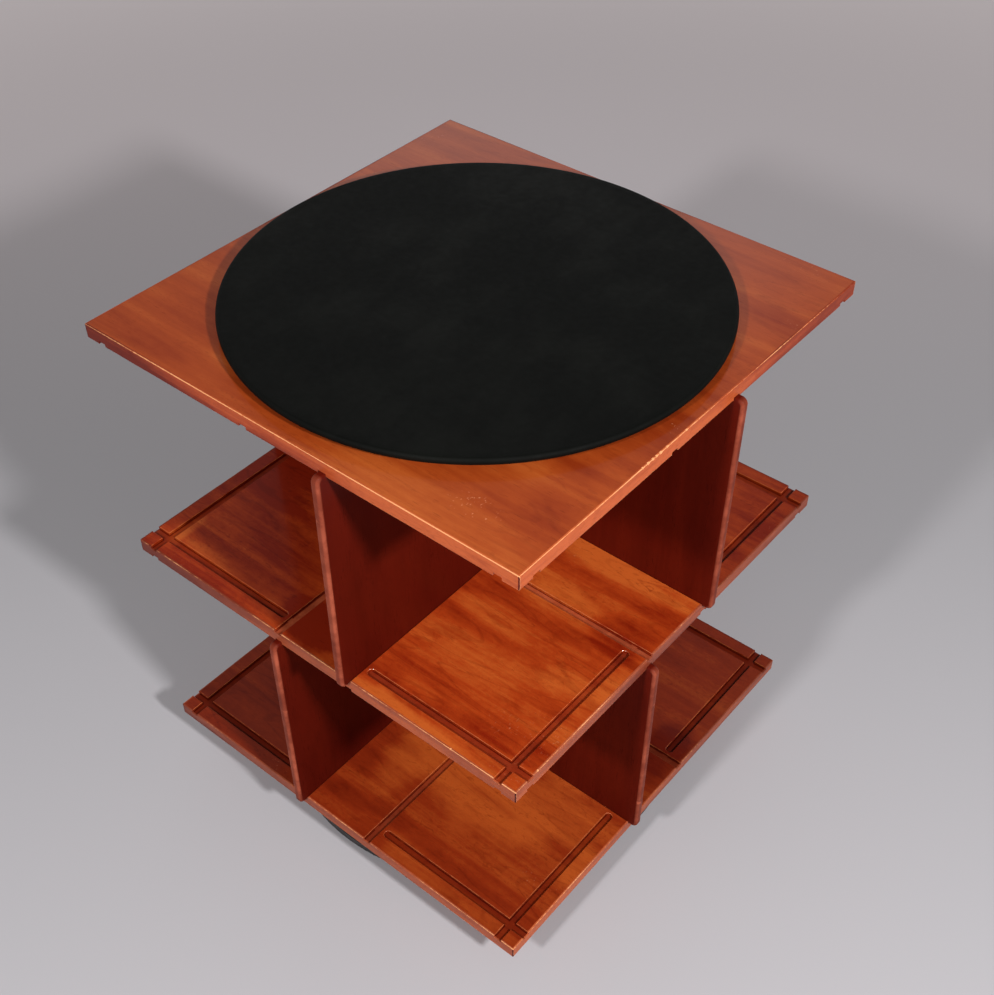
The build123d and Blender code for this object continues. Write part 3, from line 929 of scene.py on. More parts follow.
@dataclass
class Lipping:
    """Four strips round a slab, notched where the grooves run out and chipped along their arrises.

    rubs_and_highlights says how worn the upper arris of each strip is and how strong a painted highlight it
    carries:
    the -Y strip first, then round by +X. The slopes say how much more of both it has at the strip's far end
    than at its middle.
    """

    slab: str
    finish: EdgeBand
    grooved_above: bool
    grooved_below: bool
    rubs_and_highlights: tuple[float, float, float, float]
    chips: tuple[Chip, ...] = ()
    slopes: tuple[float, float, float, float] = (0.2, -0.2, -0.2, 0.2)
    lower_rub: float = 0.4
    rub_drift: float = 0.3
    rub_drift_length: float = 0.25
    chip_rub: float = 0.5
    arris: float = 1.0 * MM
    arris_wear: float = 0.35 * MM
    arris_drift_length: float = 0.35
    arris_steps: int = 5
    sharp: float = 0.05 * MM
    wear_reach: float = 0.7 * MM
    spacing: float = 2.0 * MM
    closest: float = 0.02 * MM
    wall_lean: float = 0.04 * MM
    chip_steps: int = 17
    chip_roughness: float = 0.25
    chip_ripple: float = 0.35 * MM
    chip_phase: float = 999.0

    def __post_init__(self) -> None:
        """Reads the slab's sizes from the frame."""
        low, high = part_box(f"{self.slab}_slab_lippings")
        self.inner, self.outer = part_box(f"{self.slab}_slab")[1].x, high.x
        self.low, self.high = low.z, high.z
        near, far = groove_middles()
        self.grooves = (-far, -near, near, far)

    def build(self) -> None:
        """Makes the four strips as one piece that stands for the CAD strips."""
        rng = np.random.default_rng(SEED + len(self.slab))
        points, faces, wear_and_sheen = [], [], []
        for side in range(4):
            start = sum(len(block) for block in points)
            strip, own_faces, own_wear_and_sheen = self.strip(side, rng)
            points.append(turned(strip, side))
            faces += [tuple(index + start for index in face) for face in own_faces]
            wear_and_sheen.append(own_wear_and_sheen)
        piece = new_piece(f"{self.slab}_slab_edge_bands", np.vstack(points), faces, np.concatenate(wear_and_sheen))
        stand_for(piece, f"{self.slab}_slab_lippings", self.finish.material())

    def stations(self, half: float, side: int) -> np.ndarray:
        """Places along a strip: even steps, close steps in the end rounds and chips, groove walls.

        Args:
            half: Half of the strip's length.
            side: Which strip.

        Returns:
            The places, in order, none closer than the closest step.
        """
        even = np.linspace(-half, half, int(2 * half / self.spacing) + 1)
        bend = self.arris * (1 - np.cos(np.linspace(0, QUARTER, self.arris_steps)))
        marks = [-half + bend, half - bend]
        edges = GROOVE_HALF + np.array([-self.wall_lean, 0.0, GROOVE_LIP])
        for middle in self.grooves:
            marks += [middle + edges, middle - edges]
        for chip in self.chips:
            if chip.side == side:
                marks.append(chip.place + np.linspace(-0.5, 0.5, self.chip_steps) * chip.length)
        places = np.unique(np.concatenate([even] + marks).round(7))
        return places[np.concatenate([[True], np.diff(places) > self.closest])]

    def notch(self, along: np.ndarray) -> np.ndarray:
        """Depth of the grooves along a strip: a 45-degree lip, then a wall down to the floor.

        Args:
            along: Places along the strip.

        Returns:
            The depth at each.
        """
        distance = np.min([abs(along - middle) for middle in self.grooves], axis=0)
        lip = np.clip(GROOVE_HALF + GROOVE_LIP - distance, 0, GROOVE_LIP)
        return np.where(distance < GROOVE_HALF - self.wall_lean / 2, GROOVE_DEPTH, lip)

    def bites(self, along: np.ndarray, side: int, upper: bool) -> np.ndarray:
        """Depth of the chips along one arris: each a half round, roughened by a short sine.

        Args:
            along: Places along the strip.
            side: Which strip.
            upper: Which arris.

        Returns:
            The depth at each place.
        """
        depth = np.zeros_like(along)
        for chip in self.chips:
            if chip.side == side and chip.upper == upper:
                reach = np.clip(1 - (2 * (along - chip.place) / chip.length) ** 2, 0, 1)
                ripple = np.sin(along / self.chip_ripple + chip.place * self.chip_phase)
                rough = 1 + self.chip_roughness * ripple
                depth = np.maximum(depth, chip.depth * np.sqrt(reach) * rough)
        return depth

    def strip(self, side: int, rng: np.random.Generator) -> tuple[np.ndarray, Faces, np.ndarray]:
        """One strip with its outer face towards -Y.

        Each station has one closed section: the inner face straight, and the two outer corners
        quarter rounds whose radius drifts, opens in a chip and closes in a groove.

        Args:
            side: Quarter turns that will be made, so that chips find their strip.
            rng: Source of the drift.

        Returns:
            Vertices, faces, and how worn each vertex is, with the painted highlight of the upper arrises.
        """
        half = self.outer if side % 2 == 0 else self.inner
        along = self.stations(half, side)
        into_end = np.clip(abs(along) - (self.outer - self.arris), 0, self.arris)
        recede = self.arris - np.sqrt(self.arris ** 2 - into_end ** 2)
        out = self.outer - recede
        notch = self.notch(along)
        edges = []
        for upper, grooved in ((False, self.grooved_below), (True, self.grooved_above)):
            cut = notch if grooved else np.zeros_like(along)
            bite = self.bites(along, side, upper)
            wander = drift(along + half, rng, self.arris_drift_length)
            radius = self.arris + self.arris_wear * wander + bite
            radius = np.where(cut > 0, self.sharp, np.minimum(radius, out - self.inner - self.sharp))
            level = self.high - recede - cut if upper else self.low + recede + cut
            edges.append((radius, level, bite))
        angle = np.linspace(0, QUARTER, self.arris_steps)
        across = np.sqrt(abs(np.sin(2 * angle)))
        rounds, clears, inners, wear_and_sheen = [], [], [], []
        for (radius, level, bite), upper in zip(edges, (False, True)):
            sweep = angle if upper else angle - QUARTER
            sign = 1.0 if upper else -1.0
            rounding = out[:, None] - radius[:, None] * (1 - np.cos(sweep))
            height = level[:, None] - sign * radius[:, None] * (1 - abs(np.sin(sweep)))
            rounds.append(np.stack([rounding, height], axis=-1))
            clears.append(np.stack([out, level - sign * (radius + self.wear_reach)], axis=-1)[:, None])
            inners.append(np.stack([np.full_like(along, self.inner), level], axis=-1)[:, None])
            # Painted highlight: each upper arris's level sets its painted highlight as well as its wear.
            rub_and_sheen = self.rubs_and_highlights[side] if upper else self.lower_rub
            rub_and_sheen = rub_and_sheen + self.rub_drift * drift(along + half, rng, self.rub_drift_length)
            rub_and_sheen = rub_and_sheen + along / half * self.slopes[side]
            wear_and_sheen.append(np.clip(rub_and_sheen, 0, 1)[:, None] * across + (bite > 0)[:, None] * self.chip_rub)
        section = np.concatenate([inners[0], rounds[0], *clears, rounds[1], inners[1]], axis=1)
        none = np.zeros((len(along), 1))
        worn = np.clip(np.concatenate([none, wear_and_sheen[0], none, none, wear_and_sheen[1], none], axis=1), 0, 1)
        count = section.shape[1]
        place = np.repeat(along, count)
        points = np.stack([place, -section[..., 0].ravel(), section[..., 1].ravel()], axis=-1)
        return points, strip_faces(len(along), count), worn.ravel()


@dataclass
class Divider:
    """One upright board whose front edge is rounded over, rubbed and given a painted sheen."""

    node: str
    finish: bpy.types.Material
    seed: int
    rub_and_sheen: float
    rub_drift: float = 0.25
    rub_drift_length: float = 0.2
    face_rub_and_sheen: float = 0.45
    corner: float = 8.0 * MM
    corner_steps: int = 9
    nose: float = 3.0 * MM
    nose_steps: int = 7
    wear_reach: float = 1.5 * MM
    spacing: float = 2.5 * MM
    nick_count: int = 2
    nick_span: Pair = (0.1, 0.9)
    nick_sizes: Pair = (0.5, 1.0)
    nick_reach: float = 2.0 * MM
    nick_depth: float = 0.35 * MM
    nick_rub: float = 0.9
    shallowest_nick: float = 0.02 * MM

    def build(self) -> None:
        """Makes the board and shows it instead of its CAD node."""
        low, high = (np.array(corner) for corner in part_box(self.node))
        size = high - low
        flat = 0 if size[0] < size[1] else 1
        long = 1 - flat
        forward = -1.0 if abs(low[long]) > abs(high[long]) else 1.0
        outline, inward = self.outline(size[long], size[2])
        points, wear_and_sheen = self.surface(outline, inward, size[flat] / 2)
        placed = np.zeros_like(points)
        front = low[long] if forward < 0 else high[long]
        placed[:, long] = front - forward * points[:, 0]
        placed[:, flat] = (low[flat] + high[flat]) / 2 + points[:, 1]
        placed[:, 2] = low[2] + points[:, 2]
        faces = strip_faces(len(points) // len(outline), len(outline))
        piece = new_piece(f"{self.node}_board", placed, faces, wear_and_sheen)
        stand_for(piece, self.node, self.finish)

    def outline(self, length: float, height: float) -> tuple[np.ndarray, np.ndarray]:
        """The board's outline: front edge at 0, two quarter-round front corners, square at the back.

        Args:
            length: From the front edge to the inner end.
            height: From foot to head.

        Returns:
            Points of the outline, and the inward direction at each.
        """
        r = self.corner
        turn = np.linspace(0, QUARTER, self.corner_steps)[:, None]
        rise = np.arange(r + self.spacing, height - r, self.spacing)[:, None]
        level = np.array([[length / 3], [length * 2 / 3], [length - self.nose]])
        outline = np.vstack([
            np.hstack([r - r * np.sin(turn), r - r * np.cos(turn)]),
            np.hstack([0 * rise, rise]),
            np.hstack([r - r * np.cos(turn), height - r + r * np.sin(turn)]),
            np.hstack([level, np.full_like(level, height)]),
            np.array([[length, height], [length, 0.0]]),
            np.hstack([level[::-1], 0 * level]),
        ])
        inward = np.vstack([
            np.hstack([np.sin(turn), np.cos(turn)]),
            np.tile([1.0, 0.0], (len(rise), 1)),
            np.hstack([np.cos(turn), -np.sin(turn)]),
            np.tile([0.0, -1.0], (len(level) + 1, 1)),
            np.tile([0.0, 1.0], (len(level) + 1, 1)),
        ])
        return outline, inward

    def surface(self, outline: np.ndarray, inward: np.ndarray, half: float) -> tuple[np.ndarray, np.ndarray]:
        """Rings of the outline: each drawn in by r(1 - sin a) as it goes r(1 - cos a) below the face.

        Args:
            outline: Points of the board's outline.
            inward: Inward direction at each point.
            half: Half of the board's thickness.

        Returns:
            Vertices, and how worn each is, with the painted sheen of the front edge.
        """
        rng = np.random.default_rng(SEED + self.seed)
        angle = np.linspace(0, QUARTER, self.nose_steps)
        draw = np.concatenate([[self.nose + self.wear_reach], self.nose * (1 - np.sin(angle))])
        off = np.concatenate([[half], half - self.nose * (1 - np.cos(angle))])
        rings_draw = np.concatenate([draw, draw[::-1]])
        rings_off = np.concatenate([off, -off[::-1]])
        spots = rng.uniform(*self.nick_span, self.nick_count) * outline[:, 1].max()
        sizes = rng.uniform(*self.nick_sizes, self.nick_count)
        sides = rng.choice([-1.0, 1.0], self.nick_count)
        gap = abs(outline[:, 1][:, None] - spots)
        front = (outline[:, 0] < self.corner)[:, None]
        bite = np.clip(1 - gap / (self.nick_reach * sizes), 0, 1) * sizes * front
        middle = half - self.nose * (1 - math.sin(math.pi / 4))
        arris = np.clip(1 - abs(abs(rings_off) - middle) / self.nose, 0, 1)
        match = (np.sign(rings_off)[:, None] == sides)[:, None, :]
        nick = (bite[None] * match).max(axis=2) * arris[:, None] * self.nick_depth
        flat = outline + (rings_draw[:, None] + nick)[..., None] * inward
        side = np.repeat(rings_off[:, None], len(outline), axis=1) - np.sign(rings_off)[:, None] * nick
        points = np.stack([flat[..., 0], side, flat[..., 1]], axis=-1).reshape(-1, 3)
        rub_and_sheen = self.rub_and_sheen + self.rub_drift * drift(outline[:, 1], rng, self.rub_drift_length)
        front_share = np.clip(1 - outline[:, 0] / self.corner, 0, 1)
        # Painted sheen: the flat of the nose is made paler too, as sheen.
        over_nose = np.clip(arris + self.face_rub_and_sheen, 0, 1)[:, None]
        worn = over_nose * rub_and_sheen * front_share + (nick > self.shallowest_nick) * self.nick_rub
        worn[[0, -1]] = 0.0
        return points, np.clip(worn, 0, 1).ravel()


@dataclass
class TopDisc:
    """The leather-covered disc: a skin drawn over a board and turned under its rim."""

    finish: Leather
    thickness: float = 1.0 * MM
    turn_under: float = 24.0 * MM
    segments: int = 240
    rim_steps: int = 14
    rings: int = 44
    slack: float = 0.25 * MM
    slack_waves: Triple = (0.31, 0.17, 0.09)
    taut_rim: float = 12.0 * MM

    def build(self) -> None:
        """Makes the skin and shows it instead of its CAD node."""
        low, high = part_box("top_disc_skin")
        radius, bottom, top = high.x, low.z, high.z
        outer, inner = (self.half_section(radius, bottom, top, inset) for inset in (0.0, self.thickness))
        section = np.vstack([outer, inner[::-1]])
        turn = np.linspace(0, 2 * math.pi, self.segments, endpoint=False)
        r, z = section[:, 0], section[:, 1]
        x = np.cos(turn)[:, None] * r
        y = np.sin(turn)[:, None] * r
        upper = (z > (bottom + top) / 2) & (np.arange(len(z)) < len(outer))
        rim_fade = np.clip((radius - r) / self.taut_rim, 0, 1)
        height = np.repeat(z[None], len(turn), axis=0) - self.slackness(x, y) * upper * rim_fade
        piece = new_piece("top_disc_leather", *self.close_poles(np.stack([x, y, height], axis=-1)))
        stand_for(piece, "top_disc_skin", self.finish.material())

    def half_section(self, radius: float, bottom: float, top: float, inset: float) -> np.ndarray:
        """From the axis over the top, round the half-round rim and in below to the turned edge.

        Args:
            radius: The disc's outer radius.
            bottom: Level of its underside.
            top: Level of its upper side.
            inset: How far the section lies inside the disc.

        Returns:
            Distance from the axis and level of each point.
        """
        nose = (top - bottom) / 2 - inset
        flat = radius - (top - bottom) / 2
        middle = (top + bottom) / 2
        rows = np.linspace(0, flat, self.rings)[:-1]
        over = np.stack([rows, np.full_like(rows, top - inset)], axis=-1)
        angle = np.linspace(QUARTER, -QUARTER, self.rim_steps)
        rim = np.stack([flat + nose * np.cos(angle), middle + nose * np.sin(angle)], axis=-1)
        end = np.array([[radius - self.turn_under, bottom + inset]])
        return np.vstack([over, rim, end])

    def slackness(self, x: np.ndarray, y: np.ndarray) -> np.ndarray:
        """How far the skin lies below its highest level: crossing slow waves, never negative.

        Args:
            x: First coordinate of each point.
            y: Second coordinate of each point.

        Returns:
            The depth at each point.
        """
        rng = np.random.default_rng(SEED)
        total = np.zeros_like(x)
        for length in self.slack_waves:
            heading, phase = rng.uniform(0, 2 * math.pi, 2)
            run = x * math.cos(heading) + y * math.sin(heading)
            total += length * (1 + np.sin(2 * math.pi * run / length + phase))
        return self.slack * total / (2 * sum(self.slack_waves))

    def close_poles(self, points: np.ndarray) -> tuple[np.ndarray, Faces]:
        """Joins the sections all round, with one shared point for each end on the axis.

        Args:
            points: Vertices by section and by place along it, the first and last on the axis.

        Returns:
            The vertices that are left, and the faces, which are triangles at the axis.
        """
        number = np.arange(points.size // 3).reshape(points.shape[:2])
        number[:, 0] = number[0, 0]
        number[:, -1] = number[0, -1]
        kept, renumbered = np.unique(number, return_inverse=True)
        number = renumbered.reshape(number.shape)
        after = np.roll(number, -1, axis=0)
        quads = np.stack([number[:, :-1], number[:, 1:], after[:, 1:], after[:, :-1]], axis=-1)
        faces = [tuple(dict.fromkeys(quad)) for quad in quads.reshape(-1, 4).tolist()]
        return points.reshape(-1, 3)[kept], faces


class Palette:
    """Dark, middle and pale tones of each wood."""

    TOP: Tones = (tint(150, 52, 16), tint(178, 74, 26), tint(202, 98, 40))
    MIDDLE: Tones = (tint(140, 34, 8), tint(180, 64, 20), tint(208, 98, 38))
    BOTTOM: Tones = (tint(108, 24, 7), tint(146, 47, 15), tint(188, 84, 31))
    TOP_EDGE: Tones = (tint(116, 36, 22), tint(176, 72, 38), tint(212, 102, 54))
    LOW_EDGE: Tones = (tint(120, 48, 32), tint(166, 80, 52), tint(200, 98, 56))
    DIVIDER: Tones = (tint(74, 12, 4), tint(90, 18, 7), tint(106, 25, 10))


@dataclass(frozen=True)
class Slab:
    """One square board of the case and its lipping."""

    name: str
    tones: Tones
    edge_tones: Tones
    contrast: float
    figure: float
    varnish: float
    dustiness: float
    rubs_and_highlights: tuple[float, float, float, float]
    patches: tuple[Patch, ...]
    marks: tuple[Ellipse, ...] = ()
    chips: tuple[Chip, ...] = ()
    grooved_above: bool = True
    grooved_below: bool = True
    paling: float = 0.15
    edge_paling: float = 0.6
    edge_figure: float = 0.25
    edge_varnish: float = 0.2
    edge_varnish_roughness: float = 0.26

    def build(self) -> None:
        """Dresses the board and makes its lipping."""
        low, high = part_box(f"{self.name}_slab")
        veneer = Veneer(f"{self.name}_veneer", *self.tones, Grain.ACROSS_THE_CASE, low=low.z, high=high.z,
                        contrast=self.contrast, figure=self.figure, varnish=self.varnish,
                        dustiness=self.dustiness, paling=self.paling, patches=self.patches, marks=self.marks)
        dress([f"{self.name}_slab"], veneer.material())
        edge = EdgeBand(f"{self.name}_edge_wood", *self.edge_tones, Grain.ALONG_THE_EDGE,
                        paling=self.edge_paling, figure=self.edge_figure, varnish=self.edge_varnish,
                        varnish_roughness=self.edge_varnish_roughness)
        Lipping(self.name, edge, self.grooved_above, self.grooved_below, self.rubs_and_highlights, self.chips).build()


BOTTOM_SLAB = Slab(
    "bottom", Palette.BOTTOM, Palette.LOW_EDGE, contrast=0.55, figure=0.5, varnish=0.75, dustiness=0.25,
    rubs_and_highlights=(0.45, 0.4, 0.4, 0.45), grooved_below=False,
    patches=(
        Patch(0.20, -0.295, 0.12, 0.018, 0.15),
        Patch(-0.20, -0.295, 0.12, 0.018, -0.15),
        Patch(0.05, -0.29, 0.03, 0.02, -0.2),
        Patch(0.29, -0.16, 0.018, 0.03, 0.4),
        Patch(0.05, -0.25, 0.03, 0.02, -0.2),
        Patch(-0.01, -0.262, 0.04, 0.012, -0.2),
        Patch(0.01, -0.17, 0.03, 0.05, 0.35),
        Patch(0.06, -0.135, 0.04, 0.03, 0.2),
        Patch(0.13, -0.15, 0.09, 0.05, 0.32),
        Patch(0.19, -0.055, 0.04, 0.03, 0.2),
        Patch(0.22, -0.11, 0.06, 0.05, 0.15),
        # Painted shade: darker just behind the right lower divider.
        Patch(0.27, 0.06, 0.03, 0.05, -0.6),
    ),
)
MIDDLE_SLAB = Slab(
    "middle", Palette.MIDDLE, Palette.LOW_EDGE, contrast=0.9, figure=0.5, varnish=0.62, dustiness=0.8,
    rubs_and_highlights=(0.6, 0.4, 0.4, 0.45),
    # The darker patches on the left part of this shelf are partly the wood's tone and partly painted shade
    # under the dividers and slab above.
    patches=(
        Patch(0.17, -0.295, 0.10, 0.018, 0.5),
        Patch(-0.19, -0.295, 0.12, 0.018, -0.35),
        Patch(0.295, -0.17, 0.018, 0.09, 0.25),
        Patch(0.29, -0.245, 0.018, 0.018, -0.4),
        Patch(0.29, 0.05, 0.018, 0.03, 0.25),
        Patch(0.29, 0.18, 0.018, 0.05, -0.35),
        Patch(-0.295, -0.16, 0.018, 0.12, -0.2),
        Patch(-0.27, -0.255, 0.01, 0.03, 0.5),
        Patch(-0.21, -0.263, 0.05, 0.008, 0.3),
        Patch(0.18, 0.035, 0.09, 0.03, 0.45),
        Patch(0.26, -0.05, 0.04, 0.03, -0.45),
        Patch(0.17, -0.06, 0.05, 0.03, 0.35),
        Patch(0.13, -0.19, 0.08, 0.03, 0.25),
        Patch(0.13, -0.12, 0.06, 0.02, 0.3),
        Patch(0.08, -0.243, 0.02, 0.015, -0.15),
        Patch(0.13, -0.262, 0.025, 0.012, 0.3),
        Patch(0.23, -0.256, 0.04, 0.012, -0.25),
        Patch(0.25, -0.15, 0.03, 0.02, 0.25),
        Patch(0.25, 0.20, 0.04, 0.06, -0.15),
        Patch(-0.14, -0.24, 0.12, 0.025, -0.35),
        Patch(-0.03, -0.265, 0.045, 0.035, -0.8),
        Patch(-0.16, -0.18, 0.08, 0.04, -0.25),
        Patch(-0.24, -0.11, 0.06, 0.04, -0.5),
    ),
    chips=(
        Chip(1, -0.262, 2.5 * MM, 0.8 * MM, True),
        Chip(0, 0.21, 2.5 * MM, 0.8 * MM, True),
    ),
)
TOP_SLAB = Slab(
    "top", Palette.TOP, Palette.TOP_EDGE, contrast=0.7, figure=0.3, varnish=0.9, dustiness=0.5,
    rubs_and_highlights=(0.9, 0.65, 0.5, 0.6), grooved_above=False,
    patches=(
        Patch(0.17, -0.28, 0.12, 0.04, 0.3),
        Patch(-0.06, -0.28, 0.06, 0.05, -0.1),
        Patch(0.00, -0.285, 0.03, 0.02, -0.15),
        Patch(0.27, -0.10, 0.04, 0.12, -0.3),
        Patch(-0.22, -0.24, 0.06, 0.05, -0.15),
        Patch(0.295, 0.05, 0.03, 0.07, -0.22),
        Patch(0.22, -0.29, 0.04, 0.015, -0.2),
        Patch(0.29, -0.15, 0.02, 0.02, 0.2),
    ),
    marks=(
        Ellipse(0.212, -0.255, 0.035, 0.02),
        Ellipse(0.285, -0.045, 0.012, 0.01),
    ),
    chips=(
        Chip(1, -0.112, 2.0 * MM, 0.6 * MM, True),
        Chip(1, -0.103, 3.0 * MM, 0.7 * MM, True),
        Chip(1, -0.095, 3.2 * MM, 1.1 * MM, True),
        Chip(1, -0.089, 2.4 * MM, 0.9 * MM, True),
        Chip(1, -0.082, 4.0 * MM, 1.2 * MM, True),
        Chip(1, -0.071, 2.6 * MM, 0.6 * MM, True),
        Chip(1, -0.038, 2.2 * MM, 0.5 * MM, True),
        Chip(1, -0.104, 2.2 * MM, 0.7 * MM, False),
        Chip(1, -0.094, 3.0 * MM, 1.0 * MM, False),
        Chip(1, -0.060, 5.0 * MM, 1.5 * MM, False),
        Chip(1, -0.052, 3.0 * MM, 0.8 * MM, False),
    ),
)


@dataclass
class Case:
    """Three slabs with their lippings, and two tiers of four dividers whose rub and painted sheen differ."""

    slabs: tuple[Slab, ...] = (BOTTOM_SLAB, MIDDLE_SLAB, TOP_SLAB)
    # Rub and painted sheen of each side's front edges: higher where the edges catch more light.
    divider_rubs_and_sheens: tuple[tuple[str, float], ...] = (
        ("front", 0.75), ("right", 0.55), ("back", 0.5), ("left", 0.6))

    def build(self) -> None:
        """Builds the slabs and then the dividers, each divider from a seed of its own."""
        for slab in self.slabs:
            slab.build()
        finish = Panel("divider_wood", *Palette.DIVIDER, Grain.UPRIGHT, contrast=0.6, figure=0.2,
                       varnish=0.1, wood_gloss=0.04).material()
        boards = [(tier, side, rub_and_sheen) for tier in ("lower", "upper") for side, rub_and_sheen in self.divider_rubs_and_sheens]
        for seed, (tier, side, rub_and_sheen) in enumerate(boards, start=1):
            Divider(f"{tier}_divider_{side}", finish, seed, rub_and_sheen).build()


@dataclass
class Mechanism:
    """Swivels, tie rod, pedestal, base and fasteners: CAD pieces in their own finishes."""

    ring: TurnedMetal = TurnedMetal("ring_aluminium", tint(196, 198, 200), 0.3)
    ball: TurnedMetal = TurnedMetal("ball_steel", tint(205, 206, 208), 0.12, ring_height=0.0)
    zinc: TurnedMetal = TurnedMetal("zinc_steel", tint(186, 188, 186), 0.34, rings_per_metre=600.0)
    nylon: Moulded = Moulded("cage_nylon", tint(226, 222, 210))
    lacquer: Lacquer = Lacquer("base_lacquer", tint(20, 18, 17))
    stained: Timber = Timber("pedestal_wood", *Palette.DIVIDER, Grain.ACROSS_THE_CASE, contrast=0.8)
    felt: Felt = Felt("glide_felt", tint(52, 50, 48))
    board: ParticleBoard = ParticleBoard("disc_board", tint(176, 138, 96), tint(206, 174, 130))

    def build(self) -> None:
        """Dresses every node that has no piece of its own."""
        swivels = ("base_swivel", "top_swivel")
        dress([f"{swivel}_{ring}_ring" for swivel in swivels for ring in ("inner", "outer")],
              self.ring.material())
        dress([f"{swivel}_balls" for swivel in swivels], self.ball.material())
        dress([f"{swivel}_ball_cage" for swivel in swivels], self.nylon.material())
        screws = [f"{swivel}_{ring}_ring_screws" for swivel in swivels for ring in ("inner", "outer")]
        dress(screws + ["tie_rod", "tie_rod_washers", "tie_rod_nuts", "pedestal_screws"],
              self.zinc.material())
        dress(["base_disc"], self.lacquer.material())
        dress(["pedestal"], self.stained.material())
        dress(["base_glides"], self.felt.material())
        dress(["top_disc_board"], self.board.material())


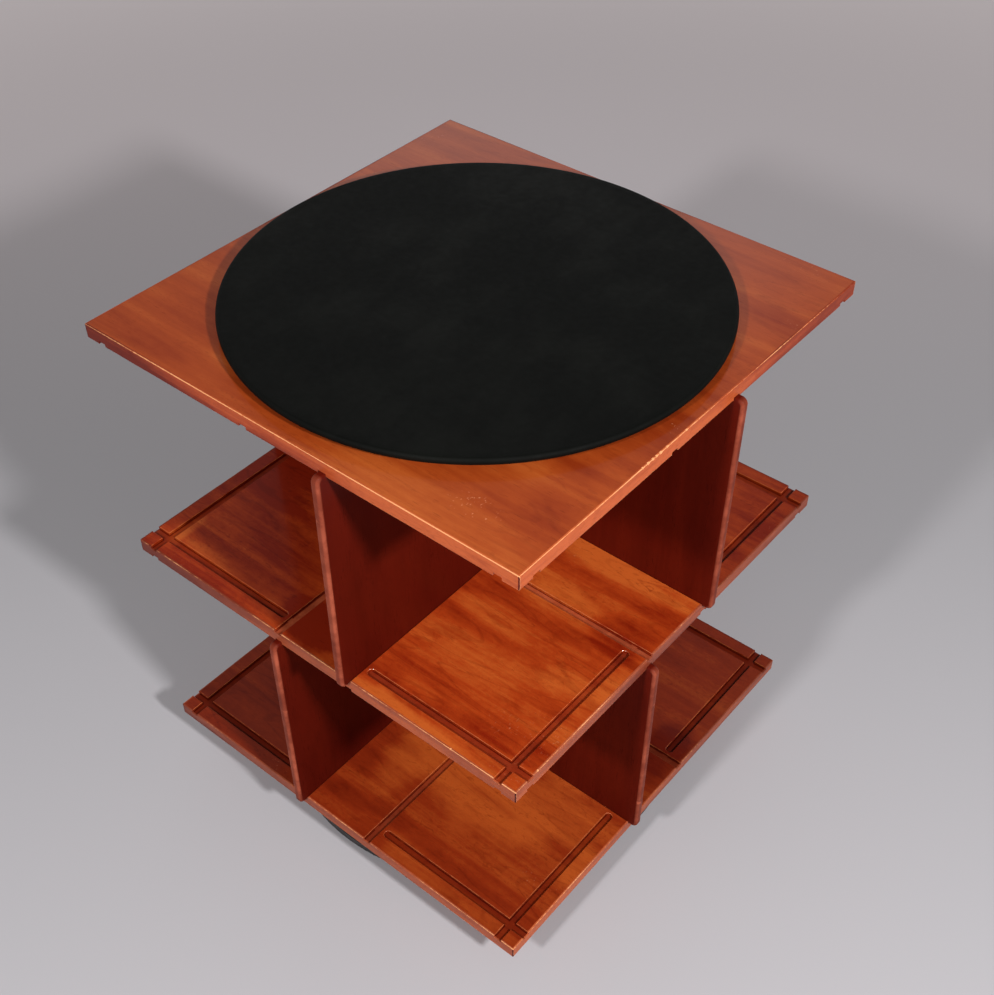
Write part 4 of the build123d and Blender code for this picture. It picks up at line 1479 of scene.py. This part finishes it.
@dataclass
class Studio:
    """Pale floor, two small soft lamps either side of the camera, a plain surround and the camera.

    A pair whose name ends in _over says where a soft change starts and where it ends.
    """

    camera_place: Triple = (0.812, -0.9517, 1.5643)
    camera_forward: Triple = (-0.4512, 0.5473, -0.7049)
    focal_pixels: float = 1353.1
    frame_pixels: float = 995.0
    centre_below_middle: float = 62.5
    sensor: float = 36.0
    floor_radius: float = 12.0
    floor_sides: int = 96
    near_floor: Colour = tint(204, 201, 205)
    far_floor: Colour = tint(254, 243, 246)
    paler_over: Pair = (0.3, 2.0)
    fades_over: Pair = (1.5, 3.2)
    black: Colour = tint(0, 0, 0)
    backdrop_heading: Triple = (-0.55, 0.73, 0.40)
    backdrop_over: Pair = (0.95, 0.99)
    backdrop_glow: float = 0.54
    room_glow: float = 0.12
    back_over: Pair = (-0.1, 0.6)
    back_rises_over: Pair = (0.0, 0.06)
    back_falls_over: Pair = (0.38, 0.22)
    back_glow: float = 1.0
    seen_surround: Colour = tint(170, 162, 163)
    lamps: tuple[tuple[str, Triple, float, float], ...] = (
        ("right_lamp", (2.407, -0.729, 2.1), 0.24, 63.0),
        ("left_lamp", (0.282, -2.361, 2.1), 0.24, 35.0),
    )

    def build(self) -> None:
        """Builds the floor, the lamps, the surround and the camera."""
        self.floor()
        for name, place, size, power in self.lamps:
            self.lamp(name, Vector(place), size, power)
        self.surround()
        self.camera()
        bpy.context.scene.view_settings.view_transform = "Standard"
        log.info("studio built")

    def ahead(self, x: Signal, y: Signal) -> Signal:
        """How far a place or a direction reaches the way that the camera looks, on the level."""
        level = Vector(self.camera_forward[:2]).normalized()
        return x * level.x + y * level.y

    def floor(self) -> None:
        """A round floor, painted paler further off as painted light, which the camera sees fade into the
        surround.
        """
        turn = np.linspace(0, 2 * math.pi, self.floor_sides, endpoint=False)
        rim = self.floor_radius * np.stack([np.cos(turn), np.sin(turn), 0 * turn], axis=-1)
        mesh = bpy.data.meshes.new("floor")
        mesh.from_pydata(rim.tolist(), [], [tuple(range(self.floor_sides))])
        piece = bpy.data.objects.new("floor", mesh)
        bpy.context.scene.collection.objects.link(piece)
        graph = Graph.of_material("floor_paint")
        x, y, _ = graph.parts(graph.place())
        # Painted light: the floor is painted paler further off, standing in for more light falling there.
        colour = graph.mix(self.ahead(x, y).ramp(*self.paler_over), self.near_floor, self.far_floor)
        fade = (x * x + y * y).root().ramp(*self.fades_over)
        fade = fade * graph.signal("ShaderNodeLightPath", output="Is Camera Ray")
        mesh.materials.append(graph.surface(
            Base_Color=graph.mix(fade, colour, self.black),
            Emission_Color=graph.mix(fade, self.black, self.seen_surround),
            Emission_Strength=1.0, Roughness=0.7, Specular_IOR_Level=0.3))

    def lamp(self, name: str, place: Vector, size: float, power: float) -> None:
        """A round soft lamp that looks at the middle of the case.

        Args:
            name: The lamp's name.
            place: Where it stands.
            size: Its diameter.
            power: Its power in watts.
        """
        data = bpy.data.lights.new(name, "AREA")
        data.shape = "DISK"
        data.size = size
        data.energy = power
        lamp = bpy.data.objects.new(name, data)
        lamp.location = place
        aim = Vector((0.0, 0.0, (CAD_BOX[0].z + CAD_BOX[1].z) / 2)) - place
        lamp.rotation_mode = "QUATERNION"
        lamp.rotation_quaternion = aim.to_track_quat("-Z", "Y")
        bpy.context.scene.collection.objects.link(lamp)

    def surround(self) -> None:
        """A dim room, brighter at the backdrop's heading and low down behind the case."""
        world = bpy.data.worlds.new("surround")
        graph = Graph(world)
        across, back, up = graph.parts(graph.signal("ShaderNodeTexCoord", output="Generated"))
        heading = self.backdrop_heading
        facing = across * heading[0] + back * heading[1] + up * heading[2]
        behind = self.ahead(across, back).ramp(*self.back_over)
        low_down = up.ramp(*self.back_rises_over) * up.ramp(*self.back_falls_over)
        glow = facing.ramp(*self.backdrop_over) * self.backdrop_glow + self.room_glow
        glow = glow + behind * low_down * self.back_glow
        lit = graph.signal("ShaderNodeCombineColor", sockets={0: glow, 1: glow, 2: glow})
        seen = graph.signal("ShaderNodeLightPath", output="Is Camera Ray")
        colour = graph.mix(seen, lit, self.seen_surround)
        background = graph.node("ShaderNodeBackground", sockets={"Color": colour})
        output = graph.node("ShaderNodeOutputWorld")
        graph.tree.links.new(background.outputs[0], output.inputs["Surface"])
        bpy.context.scene.world = world

    def camera(self) -> None:
        """The camera, its focal length turned from pixels into millimetres of sensor."""
        data = bpy.data.cameras.new("camera")
        data.sensor_width = self.sensor
        data.lens = self.sensor * self.focal_pixels / self.frame_pixels
        data.shift_y = self.centre_below_middle / self.frame_pixels
        camera = bpy.data.objects.new("camera", data)
        camera.location = self.camera_place
        camera.rotation_mode = "QUATERNION"
        camera.rotation_quaternion = Vector(self.camera_forward).to_track_quat("-Z", "Y")
        bpy.context.scene.collection.objects.link(camera)
        bpy.context.scene.camera = camera


def main() -> None:
    """Builds the studio and every sub-assembly in order."""
    logging.basicConfig(level=logging.INFO, format="%(name)s: %(message)s")
    Studio().build()
    Case().build()
    TopDisc(Leather("disc_leather", tint(7, 8, 6), tint(14, 15, 12))).build()
    Mechanism().build()


if __name__ == "__main__":
    main()
